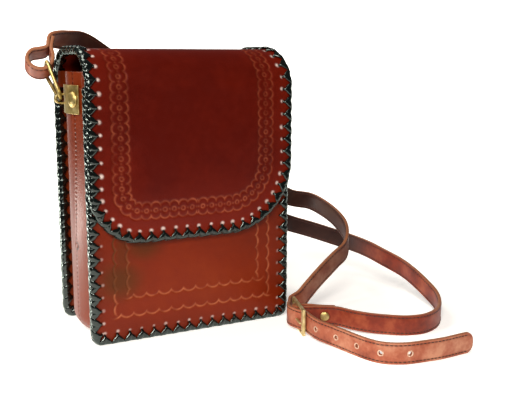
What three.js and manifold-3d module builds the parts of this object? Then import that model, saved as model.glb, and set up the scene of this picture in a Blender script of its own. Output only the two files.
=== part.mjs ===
// A small leather sling bag: two panels, a bowed gusset, a flap that is one piece with the back,
// laced edges, brass ring clips and a buckled strap that lies beside the bag.
// Millimetres, +Z up. X runs along the front, -Y is the front, the origin is under the middle.

import * as THREE from "three";
import Module from "manifold-3d";

const wasm = await Module();
wasm.setup();

// Bag sizes
const bagWidth = 167;
const bagDepth = 88;
const bagHeight = 220;
const bodyTop = 190;
const gussetTop = 203;
const leather = 2.5;
const gussetLeather = 2;
const gap = 0.3;
const panelCorner = 7;
const gussetCorner = 14;
const panelCrown = 1.4;
const crownEase = 45;

// Flap sizes
const flapBottom = 77;
const flapCornerLeft = 38;
const flapCornerRight = 54;
const archRadius = 30;
const flapCrown = 1.6;
const flapTopInset = 6;
const insetReach = 60;

// Gusset section sizes
const flangeDepth = 8;
const crestHalf = 6;
const tabShare = 0.84;
const shoulder = 0.7;

// Edge lacing sizes
const laceThick = 1.2;
const laceReach = 6.5;

// Clip, rivet and ring sizes
const clipHeight = 21.5;
const clipFront = -20;
const clipBack = 13;
const clipThick = 1.2;
const clipMiddle = 182.5;
const shankRadius = 1.6;
const clipDome = 6;
const domeShare = 0.4;
const backHeadHeight = 0.9;
const clipRivetY = -12;
const bridgeY = 9.5;
const bridgeLength = 5;
const bridgeInner = 2.7;
const bridgeThick = 1.3;
const wire = 3;
const ringHeight = 28;
const ringTopHalf = 9.9;
const ringFoot = 4.5;
const ringCorner = 3;
const ringRock = 32;
const ringLeanLeft = 15;
const ringLeanRight = 158;

// Strap sizes
const strapWidth = 16;
const strapThick = 2.6;
const strapBevel = 0.7;
const strapStep = 9;
const ringTail = 24;
const buckleTail = 30;
const ringTurn = 9.5;
const ringSlideLeft = 60;
const ringSlideRight = 0;
const rivetAlong = 22;
const strapDome = 3.8;
const holeRadius = 1.5;
const holePitch = 20.4;
const holeCount = 6;
const tipToHole = 56;
const tipCorner = 7;

// How far the loose strap lies out to the right, to the front and up from the bag's right back corner
const layWidth = 125;
const layDepth = 228;
const layRise = 75;

// Buckle sizes
const frameLength = 34;
const frameRail = 2.2;
const frameThick = 2.4;
const barHalf = 1.2;
const centreBarAt = 13;
const frontBarWidth = 5;
const windowSlack = 1;
const tongueRadius = 1;
const tongueSlotLength = 14;
const farBarOut = -0.036;
const farBarFront = 0.466;
const buckleTurn = -107.7;
const buckleStrapTurn = -34;

const half = bagWidth / 2 - laceThick - gap;
const floorEdge = laceThick + gap;
const panelOuter = bagDepth / 2 - laceThick - gap;
const panelInner = panelOuter - leather;
const flangeOuter = panelInner - gap;
const flangeInner = flangeOuter - gussetLeather;
const flapInner = bagDepth / 2 + gap + laceThick + gap;
const bridgeX = bagWidth / 2 + gap + clipThick + bridgeInner;

const upAxis = new THREE.Vector3(0, 0, 1);
const backAxis = new THREE.Vector3(0, 1, 0);

const bagGroup = new THREE.Group();

const redLeather = { color: 0x8c3018, roughness: 0.45, metalness: 0 };
const gussetRed = { color: 0xa3401f, roughness: 0.5, metalness: 0 };
const strapRed = { color: 0xa8452a, roughness: 0.5, metalness: 0 };
const laceBlack = { color: 0x14181a, roughness: 0.35, metalness: 0 };
const brass = { color: 0xc2a862, roughness: 0.3, metalness: 1 };

function addPart(name, geometry, finish) {
  const mesh = new THREE.Mesh(geometry, new THREE.MeshStandardMaterial(finish));
  mesh.name = name;
  bagGroup.add(mesh);
  return mesh;
}

// Body through equal rings of points. Each ring is an outer run and the inner run coming back.
function bodyFromRings(rings, isLoop) {
  const count = rings[0].length;
  const positions = rings.flat().flatMap((point) => [point.x, point.y, point.z]);
  const triangles = [];
  const lastRow = isLoop ? rings.length : rings.length - 1;
  for (let row = 0; row < lastRow; row += 1) {
    const here = row * count;
    const next = ((row + 1) % rings.length) * count;
    for (let i = 0; i < count; i += 1) {
      const j = (i + 1) % count;
      triangles.push([here + i, here + j, next + j], [here + i, next + j, next + i]);
    }
  }
  if (!isLoop) {
    const last = (rings.length - 1) * count;
    for (let i = 0; i < count / 2 - 1; i += 1) {
      const [a, b, c, d] = [i, i + 1, count - 2 - i, count - 1 - i];
      triangles.push([a, c, b], [a, d, c]);
      triangles.push([last + a, last + b, last + c], [last + a, last + c, last + d]);
    }
  }
  const geometry = new THREE.BufferGeometry();
  geometry.setAttribute("position", new THREE.Float32BufferAttribute(positions, 3));
  const outward = signedVolume(positions, triangles) > 0;
  geometry.setIndex(triangles.flatMap(([a, b, c]) => (outward ? [a, b, c] : [a, c, b])));
  geometry.computeVertexNormals();
  return geometry;
}

function signedVolume(positions, triangles) {
  const corner = (index) => new THREE.Vector3().fromArray(positions, index * 3);
  let sum = 0;
  for (const [a, b, c] of triangles) sum += corner(a).dot(corner(b).cross(corner(c)));
  return sum;
}

// Outer and inner run on each side of a flat centre line, as pairs [across, out].
function bandSection(line, thickness) {
  const outer = [];
  const inner = [];
  line.forEach((point, i) => {
    const before = line[Math.max(i - 1, 0)];
    const after = line[Math.min(i + 1, line.length - 1)];
    const into = new THREE.Vector2(point[0] - before[0], point[1] - before[1]);
    const from = new THREE.Vector2(after[0] - point[0], after[1] - point[1]);
    if (i === 0) into.copy(from);
    if (i === line.length - 1) from.copy(into);
    const middle = into.normalize().add(from.normalize()).normalize();
    const stretch = thickness / 2 / Math.max(middle.dot(from), 0.5);
    outer.push([point[0] - middle.y * stretch, point[1] + middle.x * stretch]);
    inner.unshift([point[0] + middle.y * stretch, point[1] - middle.x * stretch]);
  });
  return [...outer, ...inner];
}

function placeSection(section, station) {
  return section.map(([across, out]) =>
    station.origin
      .clone()
      .addScaledVector(station.across, across)
      .addScaledVector(station.out, out),
  );
}

function toSolid(geometry) {
  const mesh = new wasm.Mesh({
    numProp: 3,
    vertProperties: Float32Array.from(geometry.attributes.position.array),
    triVerts: Uint32Array.from(geometry.index.array),
  });
  return new wasm.Manifold(mesh);
}

// Three.js solids repeat their corners, so equal points are joined before a cut.
function mergeByPosition(geometry) {
  const found = new Map();
  const positions = [];
  const index = [];
  const point = new THREE.Vector3();
  const source = geometry.index ? Array.from(geometry.index.array) : null;
  const total = source ? source.length : geometry.attributes.position.count;
  for (let i = 0; i < total; i += 1) {
    point.fromBufferAttribute(geometry.attributes.position, source ? source[i] : i);
    const key = [point.x, point.y, point.z].map((value) => Math.round(value * 1e4)).join(" ");
    if (!found.has(key)) {
      found.set(key, found.size);
      positions.push(point.x, point.y, point.z);
    }
    index.push(found.get(key));
  }
  const merged = new THREE.BufferGeometry();
  merged.setAttribute("position", new THREE.Float32BufferAttribute(positions, 3));
  merged.setIndex(dropThinTriangles(index));
  return merged;
}

function dropThinTriangles(index) {
  const kept = [];
  for (let i = 0; i < index.length; i += 3) {
    const [a, b, c] = index.slice(i, i + 3);
    if (a !== b && b !== c && a !== c) kept.push(a, b, c);
  }
  return kept;
}

function fromSolid(solid) {
  const mesh = solid.getMesh();
  const geometry = new THREE.BufferGeometry();
  geometry.setAttribute("position", new THREE.Float32BufferAttribute(mesh.vertProperties, 3));
  geometry.setIndex(Array.from(mesh.triVerts));
  geometry.computeVertexNormals();
  return geometry;
}

function pinGeometry(radius, length, centre, direction, sides) {
  const pin = new THREE.CylinderGeometry(radius, radius, length, sides);
  const turn = new THREE.Quaternion().setFromUnitVectors(backAxis, direction.clone().normalize());
  pin.applyQuaternion(turn);
  pin.translate(centre.x, centre.y, centre.z);
  return mergeByPosition(pin);
}

function drill(geometry, pins) {
  const solid = pins.reduce((left, pin) => left.subtract(toSolid(pin)), toSolid(geometry));
  return fromSolid(solid);
}

// Panels: flat leather with round lower corners and a little crown in the middle.
function panelHalfWidth(z) {
  const rise = z - floorEdge;
  if (rise >= panelCorner) return half;
  const drop = panelCorner - rise;
  return half - panelCorner + Math.sqrt(Math.max(panelCorner ** 2 - drop ** 2, 0));
}

// The crown rises from the inner edge of the lacing over a short way to its full height.
function crownAt(edgeDistance, height) {
  const share = (edgeDistance - laceReach * 1.3) / crownEase;
  return height * Math.sin((Math.PI / 2) * Math.min(Math.max(share, 0), 1));
}

function cornerRows() {
  const steps = 5;
  return Array.from({ length: steps + 1 }, (_, i) => {
    const angle = (i / steps) * (Math.PI / 2);
    return floorEdge + panelCorner * (1 - Math.cos(angle));
  });
}

function frontPanel() {
  const upper = [0.2, 0.35, 0.5, 0.65, 0.8, 1];
  const rise = bodyTop - floorEdge - panelCorner;
  const rows = [...cornerRows(), ...upper.map((share) => floorEdge + panelCorner + share * rise)];
  const columns = 12;
  const rings = rows.map((z) => {
    const reach = panelHalfWidth(z);
    const across = Array.from({ length: columns + 1 }, (_, i) => -reach + (2 * reach * i) / columns);
    const bulge = (x) => crownAt(Math.min(half - Math.abs(x), z - floorEdge, bodyTop - z), panelCrown);
    const outer = across.map((x) => new THREE.Vector3(x, -panelOuter - bulge(x), z));
    const inner = across.map((x) => new THREE.Vector3(x, -panelInner - bulge(x), z));
    return [...outer, ...inner.reverse()];
  });
  return bodyFromRings(rings, false);
}

// Side line of the back, arch and flap: distance along the leather gives y, z and the outward way.
const profile = makeProfile();

function makeProfile() {
  const backY = panelOuter - leather / 2;
  const frontY = -flapInner - leather / 2;
  const radius = archRadius - leather / 2;
  const topZ = bagHeight - leather / 2;
  const springZ = topZ - radius;
  const pieces = [
    { kind: "line", from: [backY, floorEdge], to: [backY, springZ] },
    { kind: "arc", centre: [backY - radius, springZ], start: 0, end: Math.PI / 2 },
    { kind: "line", from: [backY - radius, topZ], to: [frontY + radius, topZ] },
    { kind: "arc", centre: [frontY + radius, springZ], start: Math.PI / 2, end: Math.PI },
    { kind: "line", from: [frontY, springZ], to: [frontY, flapBottom + laceThick + gap] },
  ];
  let start = 0;
  for (const piece of pieces) {
    piece.start0 = start;
    piece.length =
      piece.kind === "line"
        ? Math.hypot(piece.to[0] - piece.from[0], piece.to[1] - piece.from[1])
        : radius * (piece.end - piece.start);
    start += piece.length;
  }
  return { pieces, radius, length: start, springZ };
}

function profileAt(distance) {
  const piece =
    profile.pieces.find((one) => distance <= one.start0 + one.length + 1e-6) ??
    profile.pieces[profile.pieces.length - 1];
  const share = (distance - piece.start0) / piece.length;
  if (piece.kind === "line") {
    const [y0, z0] = piece.from;
    const [y1, z1] = piece.to;
    const tangent = new THREE.Vector3(0, y1 - y0, z1 - z0).normalize();
    const point = new THREE.Vector3(0, y0 + share * (y1 - y0), z0 + share * (z1 - z0));
    return { point, tangent, out: new THREE.Vector3(0, tangent.z, -tangent.y) };
  }
  const angle = piece.start + share * (piece.end - piece.start);
  const out = new THREE.Vector3(0, Math.cos(angle), Math.sin(angle));
  const point = out.clone().multiplyScalar(profile.radius);
  point.add(new THREE.Vector3(0, piece.centre[0], piece.centre[1]));
  return { point, tangent: new THREE.Vector3(0, -Math.sin(angle), Math.cos(angle)), out };
}

function flapEdge(distance, side) {
  const corner = side < 0 ? flapCornerLeft : flapCornerRight;
  const into = distance - (profile.length - corner);
  if (distance < panelCorner) return side * panelHalfWidth(floorEdge + distance);
  if (into <= 0) return side * (half - topInset(distance, side));
  return side * (half - corner + Math.sqrt(Math.max(corner ** 2 - into ** 2, 0)));
}

// The right edge draws in a little where the leather bends over the top.
function topInset(distance, side) {
  const top = profile.pieces[2];
  const away = (distance - top.start0 - top.length / 2) / insetReach;
  if (side < 0 || Math.abs(away) >= 1) return 0;
  return (flapTopInset * (1 + Math.cos(Math.PI * away))) / 2;
}

function flapBulge(x, distance) {
  const side = x < 0 ? -1 : 1;
  const corner = side < 0 ? flapCornerLeft : flapCornerRight;
  const pastSide = Math.abs(x) - (half - corner);
  const pastEnd = distance - (profile.length - corner);
  const inCorner = pastSide > 0 && pastEnd > 0;
  const cornerGap = inCorner ? corner - Math.hypot(pastSide, pastEnd) : corner;
  const edge = Math.min(half - Math.abs(x), profile.length - distance, cornerGap);
  return crownAt(Math.min(edge, distance - profile.pieces[4].start0), flapCrown);
}

function backFlapRows() {
  const [up, arcBack, top, arcFront, down] = profile.pieces;
  const shares = (piece, list) => list.map((share) => piece.start0 + share * piece.length);
  const bottomRows = cornerRows().map((z) => z - floorEdge);
  const cornerSteps = [0, 0.25, 0.45, 0.62, 0.77, 0.88, 0.955, 1];
  const cornerStart = profile.length - flapCornerRight;
  return [
    ...bottomRows,
    ...shares(up, [0.3, 0.5, 0.7, 0.85, 1]),
    ...shares(arcBack, [0.2, 0.4, 0.6, 0.8, 1]),
    ...shares(top, [0.5, 1]),
    ...shares(arcFront, [0.2, 0.4, 0.6, 0.8, 1]),
    ...shares(down, [0.15, 0.3, 0.42]),
    ...cornerSteps.map((share) => cornerStart + share * flapCornerRight),
  ];
}

function backFlap() {
  const columns = 12;
  const rings = backFlapRows().map((distance) => {
    const { point, out } = profileAt(distance);
    const left = flapEdge(distance, -1);
    const right = flapEdge(distance, 1);
    const outer = [];
    const inner = [];
    for (let i = 0; i <= columns; i += 1) {
      const x = left + ((right - left) * i) / columns;
      const base = new THREE.Vector3(x, point.y, point.z);
      const bulge = flapBulge(x, distance);
      outer.push(base.clone().addScaledVector(out, leather / 2 + bulge));
      inner.unshift(base.clone().addScaledVector(out, -leather / 2 + bulge));
    }
    return [...outer, ...inner];
  });
  return bodyFromRings(rings, false);
}

// Edge path of the body: down the left side, round the lower corners and up the right side.
function bodyEdge(cornerRadius, topZ, sideSteps, cornerSteps, bottomSteps) {
  const stations = [];
  const add = (x, z, angle) => {
    const out = new THREE.Vector3(Math.cos(angle), 0, Math.sin(angle));
    stations.push({ origin: new THREE.Vector3(x, 0, z), across: backAxis, out });
  };
  const cornerX = half - cornerRadius;
  const cornerZ = floorEdge + cornerRadius;
  for (let i = 0; i < sideSteps; i += 1) add(-half, topZ + ((cornerZ - topZ) * i) / sideSteps, Math.PI);
  for (let i = 0; i <= cornerSteps; i += 1) {
    const angle = Math.PI + (Math.PI / 2) * (i / cornerSteps);
    add(-cornerX + cornerRadius * Math.cos(angle), cornerZ + cornerRadius * Math.sin(angle), angle);
  }
  for (let i = 1; i < bottomSteps; i += 1) {
    add(-cornerX + (2 * cornerX * i) / bottomSteps, floorEdge, -Math.PI / 2);
  }
  for (let i = 0; i <= cornerSteps; i += 1) {
    const angle = -Math.PI / 2 + (Math.PI / 2) * (i / cornerSteps);
    add(cornerX + cornerRadius * Math.cos(angle), cornerZ + cornerRadius * Math.sin(angle), angle);
  }
  for (let i = 1; i <= sideSteps; i += 1) add(half, cornerZ + ((topZ - cornerZ) * i) / sideSteps, 0);
  return stations;
}

// Gusset: turned-out flanges against both panels, a fold at their root and a bowed outer face.
// Each row gives shares: across of the half depth at the flange, out of the flange depth.
const gussetShape = [
  { across: -1, out: 0 },
  { across: -1, out: -0.9 },
  { across: -0.96, out: -1.14 },
  { across: -0.88, out: -1.14 },
  { across: -0.74, out: -0.9 },
  { across: -0.55, out: -0.5 },
  { across: -0.35, out: -0.15 },
];

function gussetLine(scale) {
  const line = flangeOuter - gussetLeather / 2;
  const crest = floorEdge - gussetLeather / 2;
  const left = gussetShape.map((row) => [row.across * line * scale, row.out * flangeDepth]);
  left.push([-crestHalf * scale, crest]);
  const right = [...left].reverse().map(([across, out]) => [-across, out]);
  return [...left, ...right];
}

function gussetSection(scale) {
  return bandSection(gussetLine(scale), gussetLeather);
}

function gusset() {
  const wide = bodyEdge(gussetCorner, bodyTop, 5, 5, 4);
  const endStations = (side) => {
    const out = new THREE.Vector3(side, 0, 0);
    const at = (z) => ({ origin: new THREE.Vector3(side * half, 0, z), across: backAxis, out });
    return [at(gussetTop), at(bodyTop + shoulder)];
  };
  const narrow = gussetSection(tabShare);
  const full = gussetSection(1);
  const rings = [
    ...endStations(-1).map((station) => placeSection(narrow, station)),
    ...wide.map((station) => placeSection(full, station)),
    ...endStations(1).reverse().map((station) => placeSection(narrow, station)),
  ];
  return bodyFromRings(rings, false);
}

// Lacing on the body edges: a channel over panel and flange. The front one is mirrored for the back.
function bodyLacing(side) {
  const outerLine = panelOuter + gap + laceThick / 2;
  const innerLine = flangeInner - gap - laceThick / 2;
  const edgeLine = gap + laceThick / 2;
  const line = [
    [side * outerLine, -laceReach],
    [side * outerLine, edgeLine],
    [side * innerLine, edgeLine],
    [side * innerLine, -laceReach],
  ];
  const section = bandSection(line, laceThick);
  const path = bodyEdge(panelCorner, bodyTop - gap, 3, 5, 3);
  return bodyFromRings(path.map((station) => placeSection(section, station)), false);
}

// Lacing on the free edge of the arch and flap, from the back of one side to the back of the other.
function flapLacing() {
  const outerLine = leather / 2 + gap + laceThick / 2;
  const edgeLine = gap + laceThick / 2;
  const line = [
    [outerLine, -laceReach],
    [outerLine, edgeLine],
    [-outerLine, edgeLine],
    [-outerLine, -laceReach],
  ];
  const section = bandSection(line, laceThick);
  const rings = flapOutline().map((place) => {
    const { point, tangent, out } = profileAt(place.distance);
    const station = {
      origin: new THREE.Vector3(place.x, point.y, point.z),
      across: out,
      out: new THREE.Vector3(place.outX, 0, 0).addScaledVector(tangent, place.outS),
    };
    return placeSection(section, station);
  });
  return bodyFromRings(rings, false);
}

function flapOutline() {
  const backStart = bodyTop - floorEdge + gap;
  const [, arcBack, top, arcFront] = profile.pieces;
  const archShares = [0, 0.2, 0.4, 0.6, 0.8, 1];
  const sideDistances = [
    backStart,
    ...archShares.slice(1).map((share) => arcBack.start0 + share * arcBack.length),
    top.start0 + top.length,
    ...archShares.slice(1).map((share) => arcFront.start0 + share * arcFront.length),
  ];
  const places = sideDistances.map((distance) => sidePlace(-1, distance));
  const steps = 9;
  for (let i = 0; i <= steps; i += 1) {
    const angle = (i / steps) * (Math.PI / 2);
    places.push(cornerPlace(-1, flapCornerLeft, angle));
  }
  for (let i = steps; i >= 0; i -= 1) {
    const angle = (i / steps) * (Math.PI / 2);
    places.push(cornerPlace(1, flapCornerRight, angle));
  }
  sideDistances.reverse().forEach((distance) => places.push(sidePlace(1, distance)));
  return places;
}

function sidePlace(side, distance) {
  const slope = flapEdge(distance + 1, side) - flapEdge(distance - 1, side);
  const out = new THREE.Vector2(2 * side, -slope * side).normalize();
  return { distance, x: flapEdge(distance, side), outX: out.x, outS: out.y };
}

function cornerPlace(side, corner, angle) {
  return {
    distance: profile.length - corner + corner * Math.sin(angle),
    x: side * (half - corner + corner * Math.cos(angle)),
    outX: side * Math.cos(angle),
    outS: Math.sin(angle),
  };
}

// Ring clip: a brass plate bent over the gusset's crest, with a bridge that holds the ring.
function clipLine(offset) {
  const gussetRun = gussetLine(1);
  const raised = bandSection(gussetRun, 2 * offset).slice(0, gussetRun.length);
  const inside = raised.filter(([across]) => across > clipFront + 1 && across < clipBack - 1);
  return [pointOnLine(raised, clipFront), ...inside, pointOnLine(raised, clipBack)];
}

function pointOnLine(line, across) {
  const i = line.findIndex((point) => point[0] >= across);
  const [a, b] = [line[i - 1], line[i]];
  const share = (across - a[0]) / (b[0] - a[0]);
  return [across, a[1] + share * (b[1] - a[1])];
}

function clip(side) {
  const line = clipLine(gussetLeather / 2 + gap + clipThick / 2);
  const section = bandSection(line, clipThick);
  const out = new THREE.Vector3(side, 0, 0);
  const rings = [clipMiddle - clipHeight / 2, clipMiddle + clipHeight / 2].map((z) =>
    placeSection(section, { origin: new THREE.Vector3(side * half, 0, z), across: backAxis, out }),
  );
  const plate = toSolid(bodyFromRings(rings, false));
  const bridge = toSolid(mergeByPosition(bridgeGeometry(side)));
  return drill(fromSolid(plate.add(bridge)), [clipPin(side)]);
}

// Where the clip's rivet goes through, and its way out of the slanted face.
function clipRivetSeat(side) {
  const line = clipLine(gussetLeather / 2 + gap + clipThick);
  const [, out] = pointOnLine(line, clipRivetY);
  const [, further] = pointOnLine(line, clipRivetY - 1);
  const direction = new THREE.Vector3(side, further - out, 0).normalize();
  return { centre: new THREE.Vector3(side * (half + out), clipRivetY, clipMiddle), direction };
}

function clipPin(side) {
  const { centre, direction } = clipRivetSeat(side);
  return pinGeometry(shankRadius + gap, 6 * leather, centre, direction, 12);
}

function bridgeGeometry(side) {
  const outerRadius = bridgeInner + bridgeThick;
  const foot = bridgeX - bagWidth / 2 - gap;
  const shape = new THREE.Shape();
  shape.moveTo(-foot, -outerRadius);
  shape.lineTo(0, -outerRadius);
  shape.absarc(0, 0, outerRadius, -Math.PI / 2, Math.PI / 2, false);
  shape.lineTo(-foot, outerRadius);
  shape.lineTo(-foot, bridgeInner);
  shape.lineTo(0, bridgeInner);
  shape.absarc(0, 0, bridgeInner, Math.PI / 2, -Math.PI / 2, true);
  shape.lineTo(-foot, -bridgeInner);
  shape.closePath();
  const options = { depth: bridgeLength, bevelEnabled: false, curveSegments: 6 };
  const bridge = new THREE.ExtrudeGeometry(shape, options);
  bridge.rotateX(Math.PI / 2);
  if (side < 0) bridge.rotateZ(Math.PI);
  const startY = side < 0 ? bridgeY - bridgeLength / 2 : bridgeY + bridgeLength / 2;
  bridge.translate(side * bridgeX, startY, clipMiddle);
  return bridge;
}

// Domed rivet along a direction: dome, shank through the layers and a flat head behind.
function rivet(domeRadius, grip, centre, direction) {
  const domeHeight = domeRadius * domeShare;
  const points = [[0, domeHeight + gap]];
  const arcSteps = 5;
  for (let i = 1; i <= arcSteps; i += 1) {
    const angle = (i / arcSteps) * (Math.PI / 2);
    points.push([domeRadius * Math.sin(angle), gap + domeHeight * Math.cos(angle)]);
  }
  points.push([shankRadius, gap], [shankRadius, -grip - gap]);
  points.push([domeRadius * 0.8, -grip - gap], [domeRadius * 0.8, -grip - gap - backHeadHeight]);
  points.push([0, -grip - gap - backHeadHeight]);
  const outline = points.reverse().map(([x, y]) => new THREE.Vector2(x, y));
  const body = new THREE.LatheGeometry(outline, 14);
  body.applyQuaternion(new THREE.Quaternion().setFromUnitVectors(backAxis, direction));
  body.translate(centre.x, centre.y, centre.z);
  return mergeByPosition(body);
}

function clipRivet(side) {
  const { centre, direction } = clipRivetSeat(side);
  return rivet(clipDome, clipThick + gussetLeather + 2 * gap, centre, direction);
}

// Ring: a wire triangle with a round foot in the bridge. It leans out and rocks back.
function ringFrame(side) {
  const lean = THREE.MathUtils.degToRad(side < 0 ? ringLeanLeft : ringLeanRight);
  const rock = THREE.MathUtils.degToRad(ringRock);
  const rise = new THREE.Vector3(side * Math.sin(lean), 0, Math.cos(lean));
  const along = rise.clone().multiplyScalar(Math.cos(rock)).addScaledVector(backAxis, Math.sin(rock));
  const bar = backAxis.clone().multiplyScalar(Math.cos(rock)).addScaledVector(rise, -Math.sin(rock));
  const foot = new THREE.Vector3(side * bridgeX, bridgeY, clipMiddle);
  const middle = foot.addScaledVector(rise, ringFoot);
  const barCentre = middle.clone().addScaledVector(along, ringHeight - ringFoot);
  return { along, bar, middle, barCentre };
}

function ring(side) {
  const frame = ringFrame(side);
  const topLine = ringHeight - ringFoot;
  const path = [];
  const arc = (x, y, radius, from, to, steps) => {
    for (let i = 0; i <= steps; i += 1) {
      const angle = from + ((to - from) * i) / steps;
      path.push([x + radius * Math.cos(angle), y + radius * Math.sin(angle)]);
    }
  };
  arc(0, 0, ringFoot, Math.PI * 1.12, Math.PI * 1.88, 8);
  arc(ringTopHalf - ringCorner, topLine - ringCorner, ringCorner, -0.25, Math.PI / 2, 4);
  arc(ringCorner - ringTopHalf, topLine - ringCorner, ringCorner, Math.PI / 2, Math.PI + 0.25, 4);
  const normal = frame.bar.clone().cross(frame.along).normalize();
  const rings = path.map(([x, y], i) => {
    const before = path[(i + path.length - 1) % path.length];
    const after = path[(i + 1) % path.length];
    const into = new THREE.Vector2(x - before[0], y - before[1]).normalize();
    const from = new THREE.Vector2(after[0] - x, after[1] - y).normalize();
    const middle = into.add(from).normalize();
    const inPlane = frame.bar.clone().multiplyScalar(middle.y).addScaledVector(frame.along, -middle.x);
    const origin = frame.middle.clone().addScaledVector(frame.bar, x).addScaledVector(frame.along, y);
    return circle(origin, inPlane, normal, wire / 2, 8);
  });
  return bodyFromRings(rings, true);
}

function circle(origin, first, second, radius, sides) {
  return Array.from({ length: sides }, (_, i) => {
    const angle = (2 * Math.PI * (i + 0.5)) / sides;
    return origin
      .clone()
      .addScaledVector(first, radius * Math.cos(angle))
      .addScaledVector(second, radius * Math.sin(angle));
  });
}

// Strap loop round a bar: the tail that lies against the strap, the turn and the start of the run.
// Shares: along of the tail's length, apart from the closed layers to the turn's radius.
const foldShape = [
  { along: 0.6, apart: 0.02 },
  { along: 0.46, apart: 0.42 },
  { along: 0.36, apart: 0.8 },
];

function foldRoute(bar, tailLength, turnRadius, slide) {
  const slideAngle = THREE.MathUtils.degToRad(slide);
  const middle = (turnRadius - bar.seat) * Math.cos(slideAngle);
  const shift = (turnRadius - bar.seat) * Math.sin(slideAngle);
  const layer = (strapThick + gap) / 2;
  const side = bar.width.clone().cross(bar.along).normalize();
  const place = (distance, apart) => ({
    point: bar.centre.clone().addScaledVector(bar.along, distance).addScaledVector(side, apart),
    width: bar.width.clone(),
  });
  const easing = (row, sign) => {
    const apart = layer + (turnRadius - layer) * row.apart;
    return place(row.along * tailLength, sign * apart - shift * row.apart);
  };
  const turnSteps = 6;
  const turn = Array.from({ length: turnSteps + 1 }, (_, i) => {
    const angle = (Math.PI * i) / turnSteps;
    return place(middle - turnRadius * Math.sin(angle), turnRadius * Math.cos(angle) - shift);
  });
  const tail = [place(tailLength, layer), ...foldShape.map((row) => easing(row, 1))];
  const run = [...foldShape].reverse().map((row) => easing(row, -1));
  return [...tail, ...turn, ...run, place(tailLength, -layer)];
}

// Ribbon stations through the route. Each route row has a point and the way of the strap's width.
function ribbonStations(route, step) {
  const points = route.map((row) => row.point);
  const curve = new THREE.CatmullRomCurve3(points, false, "centripetal");
  const spans = route.length - 1;
  const shares = [];
  for (let span = 0; span < spans; span += 1) {
    const pieces = Math.max(1, Math.round(points[span].distanceTo(points[span + 1]) / step));
    for (let i = 0; i < pieces; i += 1) shares.push((span + i / pieces) / spans);
  }
  shares.push(1);
  return shares.map((share) => {
    const tangent = curve.getTangent(share);
    const across = widthAt(route, share);
    across.addScaledVector(tangent, -across.dot(tangent)).normalize();
    return { origin: curve.getPoint(share), across, out: tangent.clone().cross(across), tangent };
  });
}

function widthAt(route, share) {
  const place = share * (route.length - 1);
  const before = Math.min(Math.floor(place), route.length - 2);
  const rest = place - before;
  const ease = rest * rest * (3 - 2 * rest);
  return route[before].width.clone().lerp(route[before + 1].width, ease);
}

function strapSection(halfWidth) {
  const face = strapThick / 2;
  const outer = [
    [-halfWidth, face - strapBevel],
    [-halfWidth + strapBevel, face],
    [halfWidth - strapBevel, face],
    [halfWidth, face - strapBevel],
  ];
  const inner = outer.map(([across, out]) => [across, -out]).reverse();
  return [...outer, ...inner];
}

function ribbonBody(stations) {
  const rings = stations.map((station) =>
    placeSection(strapSection(station.halfWidth ?? strapWidth / 2), station),
  );
  return bodyFromRings(rings, false);
}

// The loose strap's route beside the bag, as shares of the lay sizes from the right back corner.
const besideLong = [
  { out: 0.092, front: -0.096, rise: 1.413 },
  { out: 0.308, front: -0.083, rise: 1.153 },
  { out: 0.482, front: -0.057, rise: 0.967 },
  { out: 0.588, front: 0.018, rise: 0.935 },
  { out: 0.632, front: 0.096, rise: 0.864 },
  { out: 0.64, front: 0.18, rise: 0.78 },
  { out: 0.631, front: 0.246, rise: 0.68 },
  { out: 0.58, front: 0.303, rise: 0.601 },
  { out: 0.516, front: 0.338, rise: 0.511 },
  { out: 0.4, front: 0.368, rise: 0.436 },
  { out: 0.247, front: 0.395, rise: 0.3 },
  { out: 0.128, front: 0.417, rise: 0.181 },
  { out: 0.057, front: 0.428, rise: 0.1 },
  { out: -0.014, front: 0.431, rise: 0.053 },
  { out: -0.038, front: 0.441, rise: 0.039 },
];

const besideBuckle = [
  { out: 0.228, front: -0.004, rise: 1.36, lean: [-0.3, 0.8, 0.5] },
  { out: 0.276, front: -0.039, rise: 1.067, lean: [-0.3, 0.6, 0.7] },
  { out: 0.332, front: -0.07, rise: 0.853, lean: [-0.2, 0.4, 0.9] },
  { out: 0.436, front: -0.114, rise: 0.667, lean: [0, 0.2, 1] },
  { out: 0.572, front: -0.14, rise: 0.564 },
  { out: 0.704, front: -0.083, rise: 0.493 },
  { out: 0.816, front: -0.013, rise: 0.427 },
  { out: 0.908, front: 0.066, rise: 0.371 },
  { out: 0.94, front: 0.162, rise: 0.34 },
  { out: 0.962, front: 0.259, rise: 0.289 },
  { out: 0.988, front: 0.36, rise: 0.227 },
  { out: 0.97, front: 0.447, rise: 0.183 },
  { out: 0.95, front: 0.544, rise: 0.103 },
  { out: 0.914, front: 0.623, rise: 0.044 },
  { out: 0.828, front: 0.697, rise: 0.007 },
  { out: 0.708, front: 0.754, rise: 0 },
  { out: 0.572, front: 0.781, rise: 0 },
  { out: 0.45, front: 0.768, rise: 0 },
  { out: 0.344, front: 0.737, rise: 0 },
  { out: 0.256, front: 0.7, rise: 0 },
  { out: 0.19, front: 0.655, rise: 0.008 },
  { out: 0.15, front: 0.611, rise: 0.016 },
];

// Behind the bag: x in shares of its width, back of its depth, high of its height.
const behindBag = [
  { x: -0.431, back: -0.023, high: 1.032, lean: [0.1, 0.5, -0.86] },
  { x: -0.341, back: 0.068, high: 1.027, lean: [0, 0.3, -0.95] },
  { x: -0.24, back: 0.125, high: 0.986, lean: [0, 0.15, -1] },
  { x: -0.09, back: 0.182, high: 0.905, lean: [0, 0, -1] },
  { x: 0.12, back: 0.216, high: 0.795, lean: [0, 0, -1] },
  { x: 0.359, back: 0.25, high: 0.65, lean: [0, 0, -1] },
];

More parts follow.
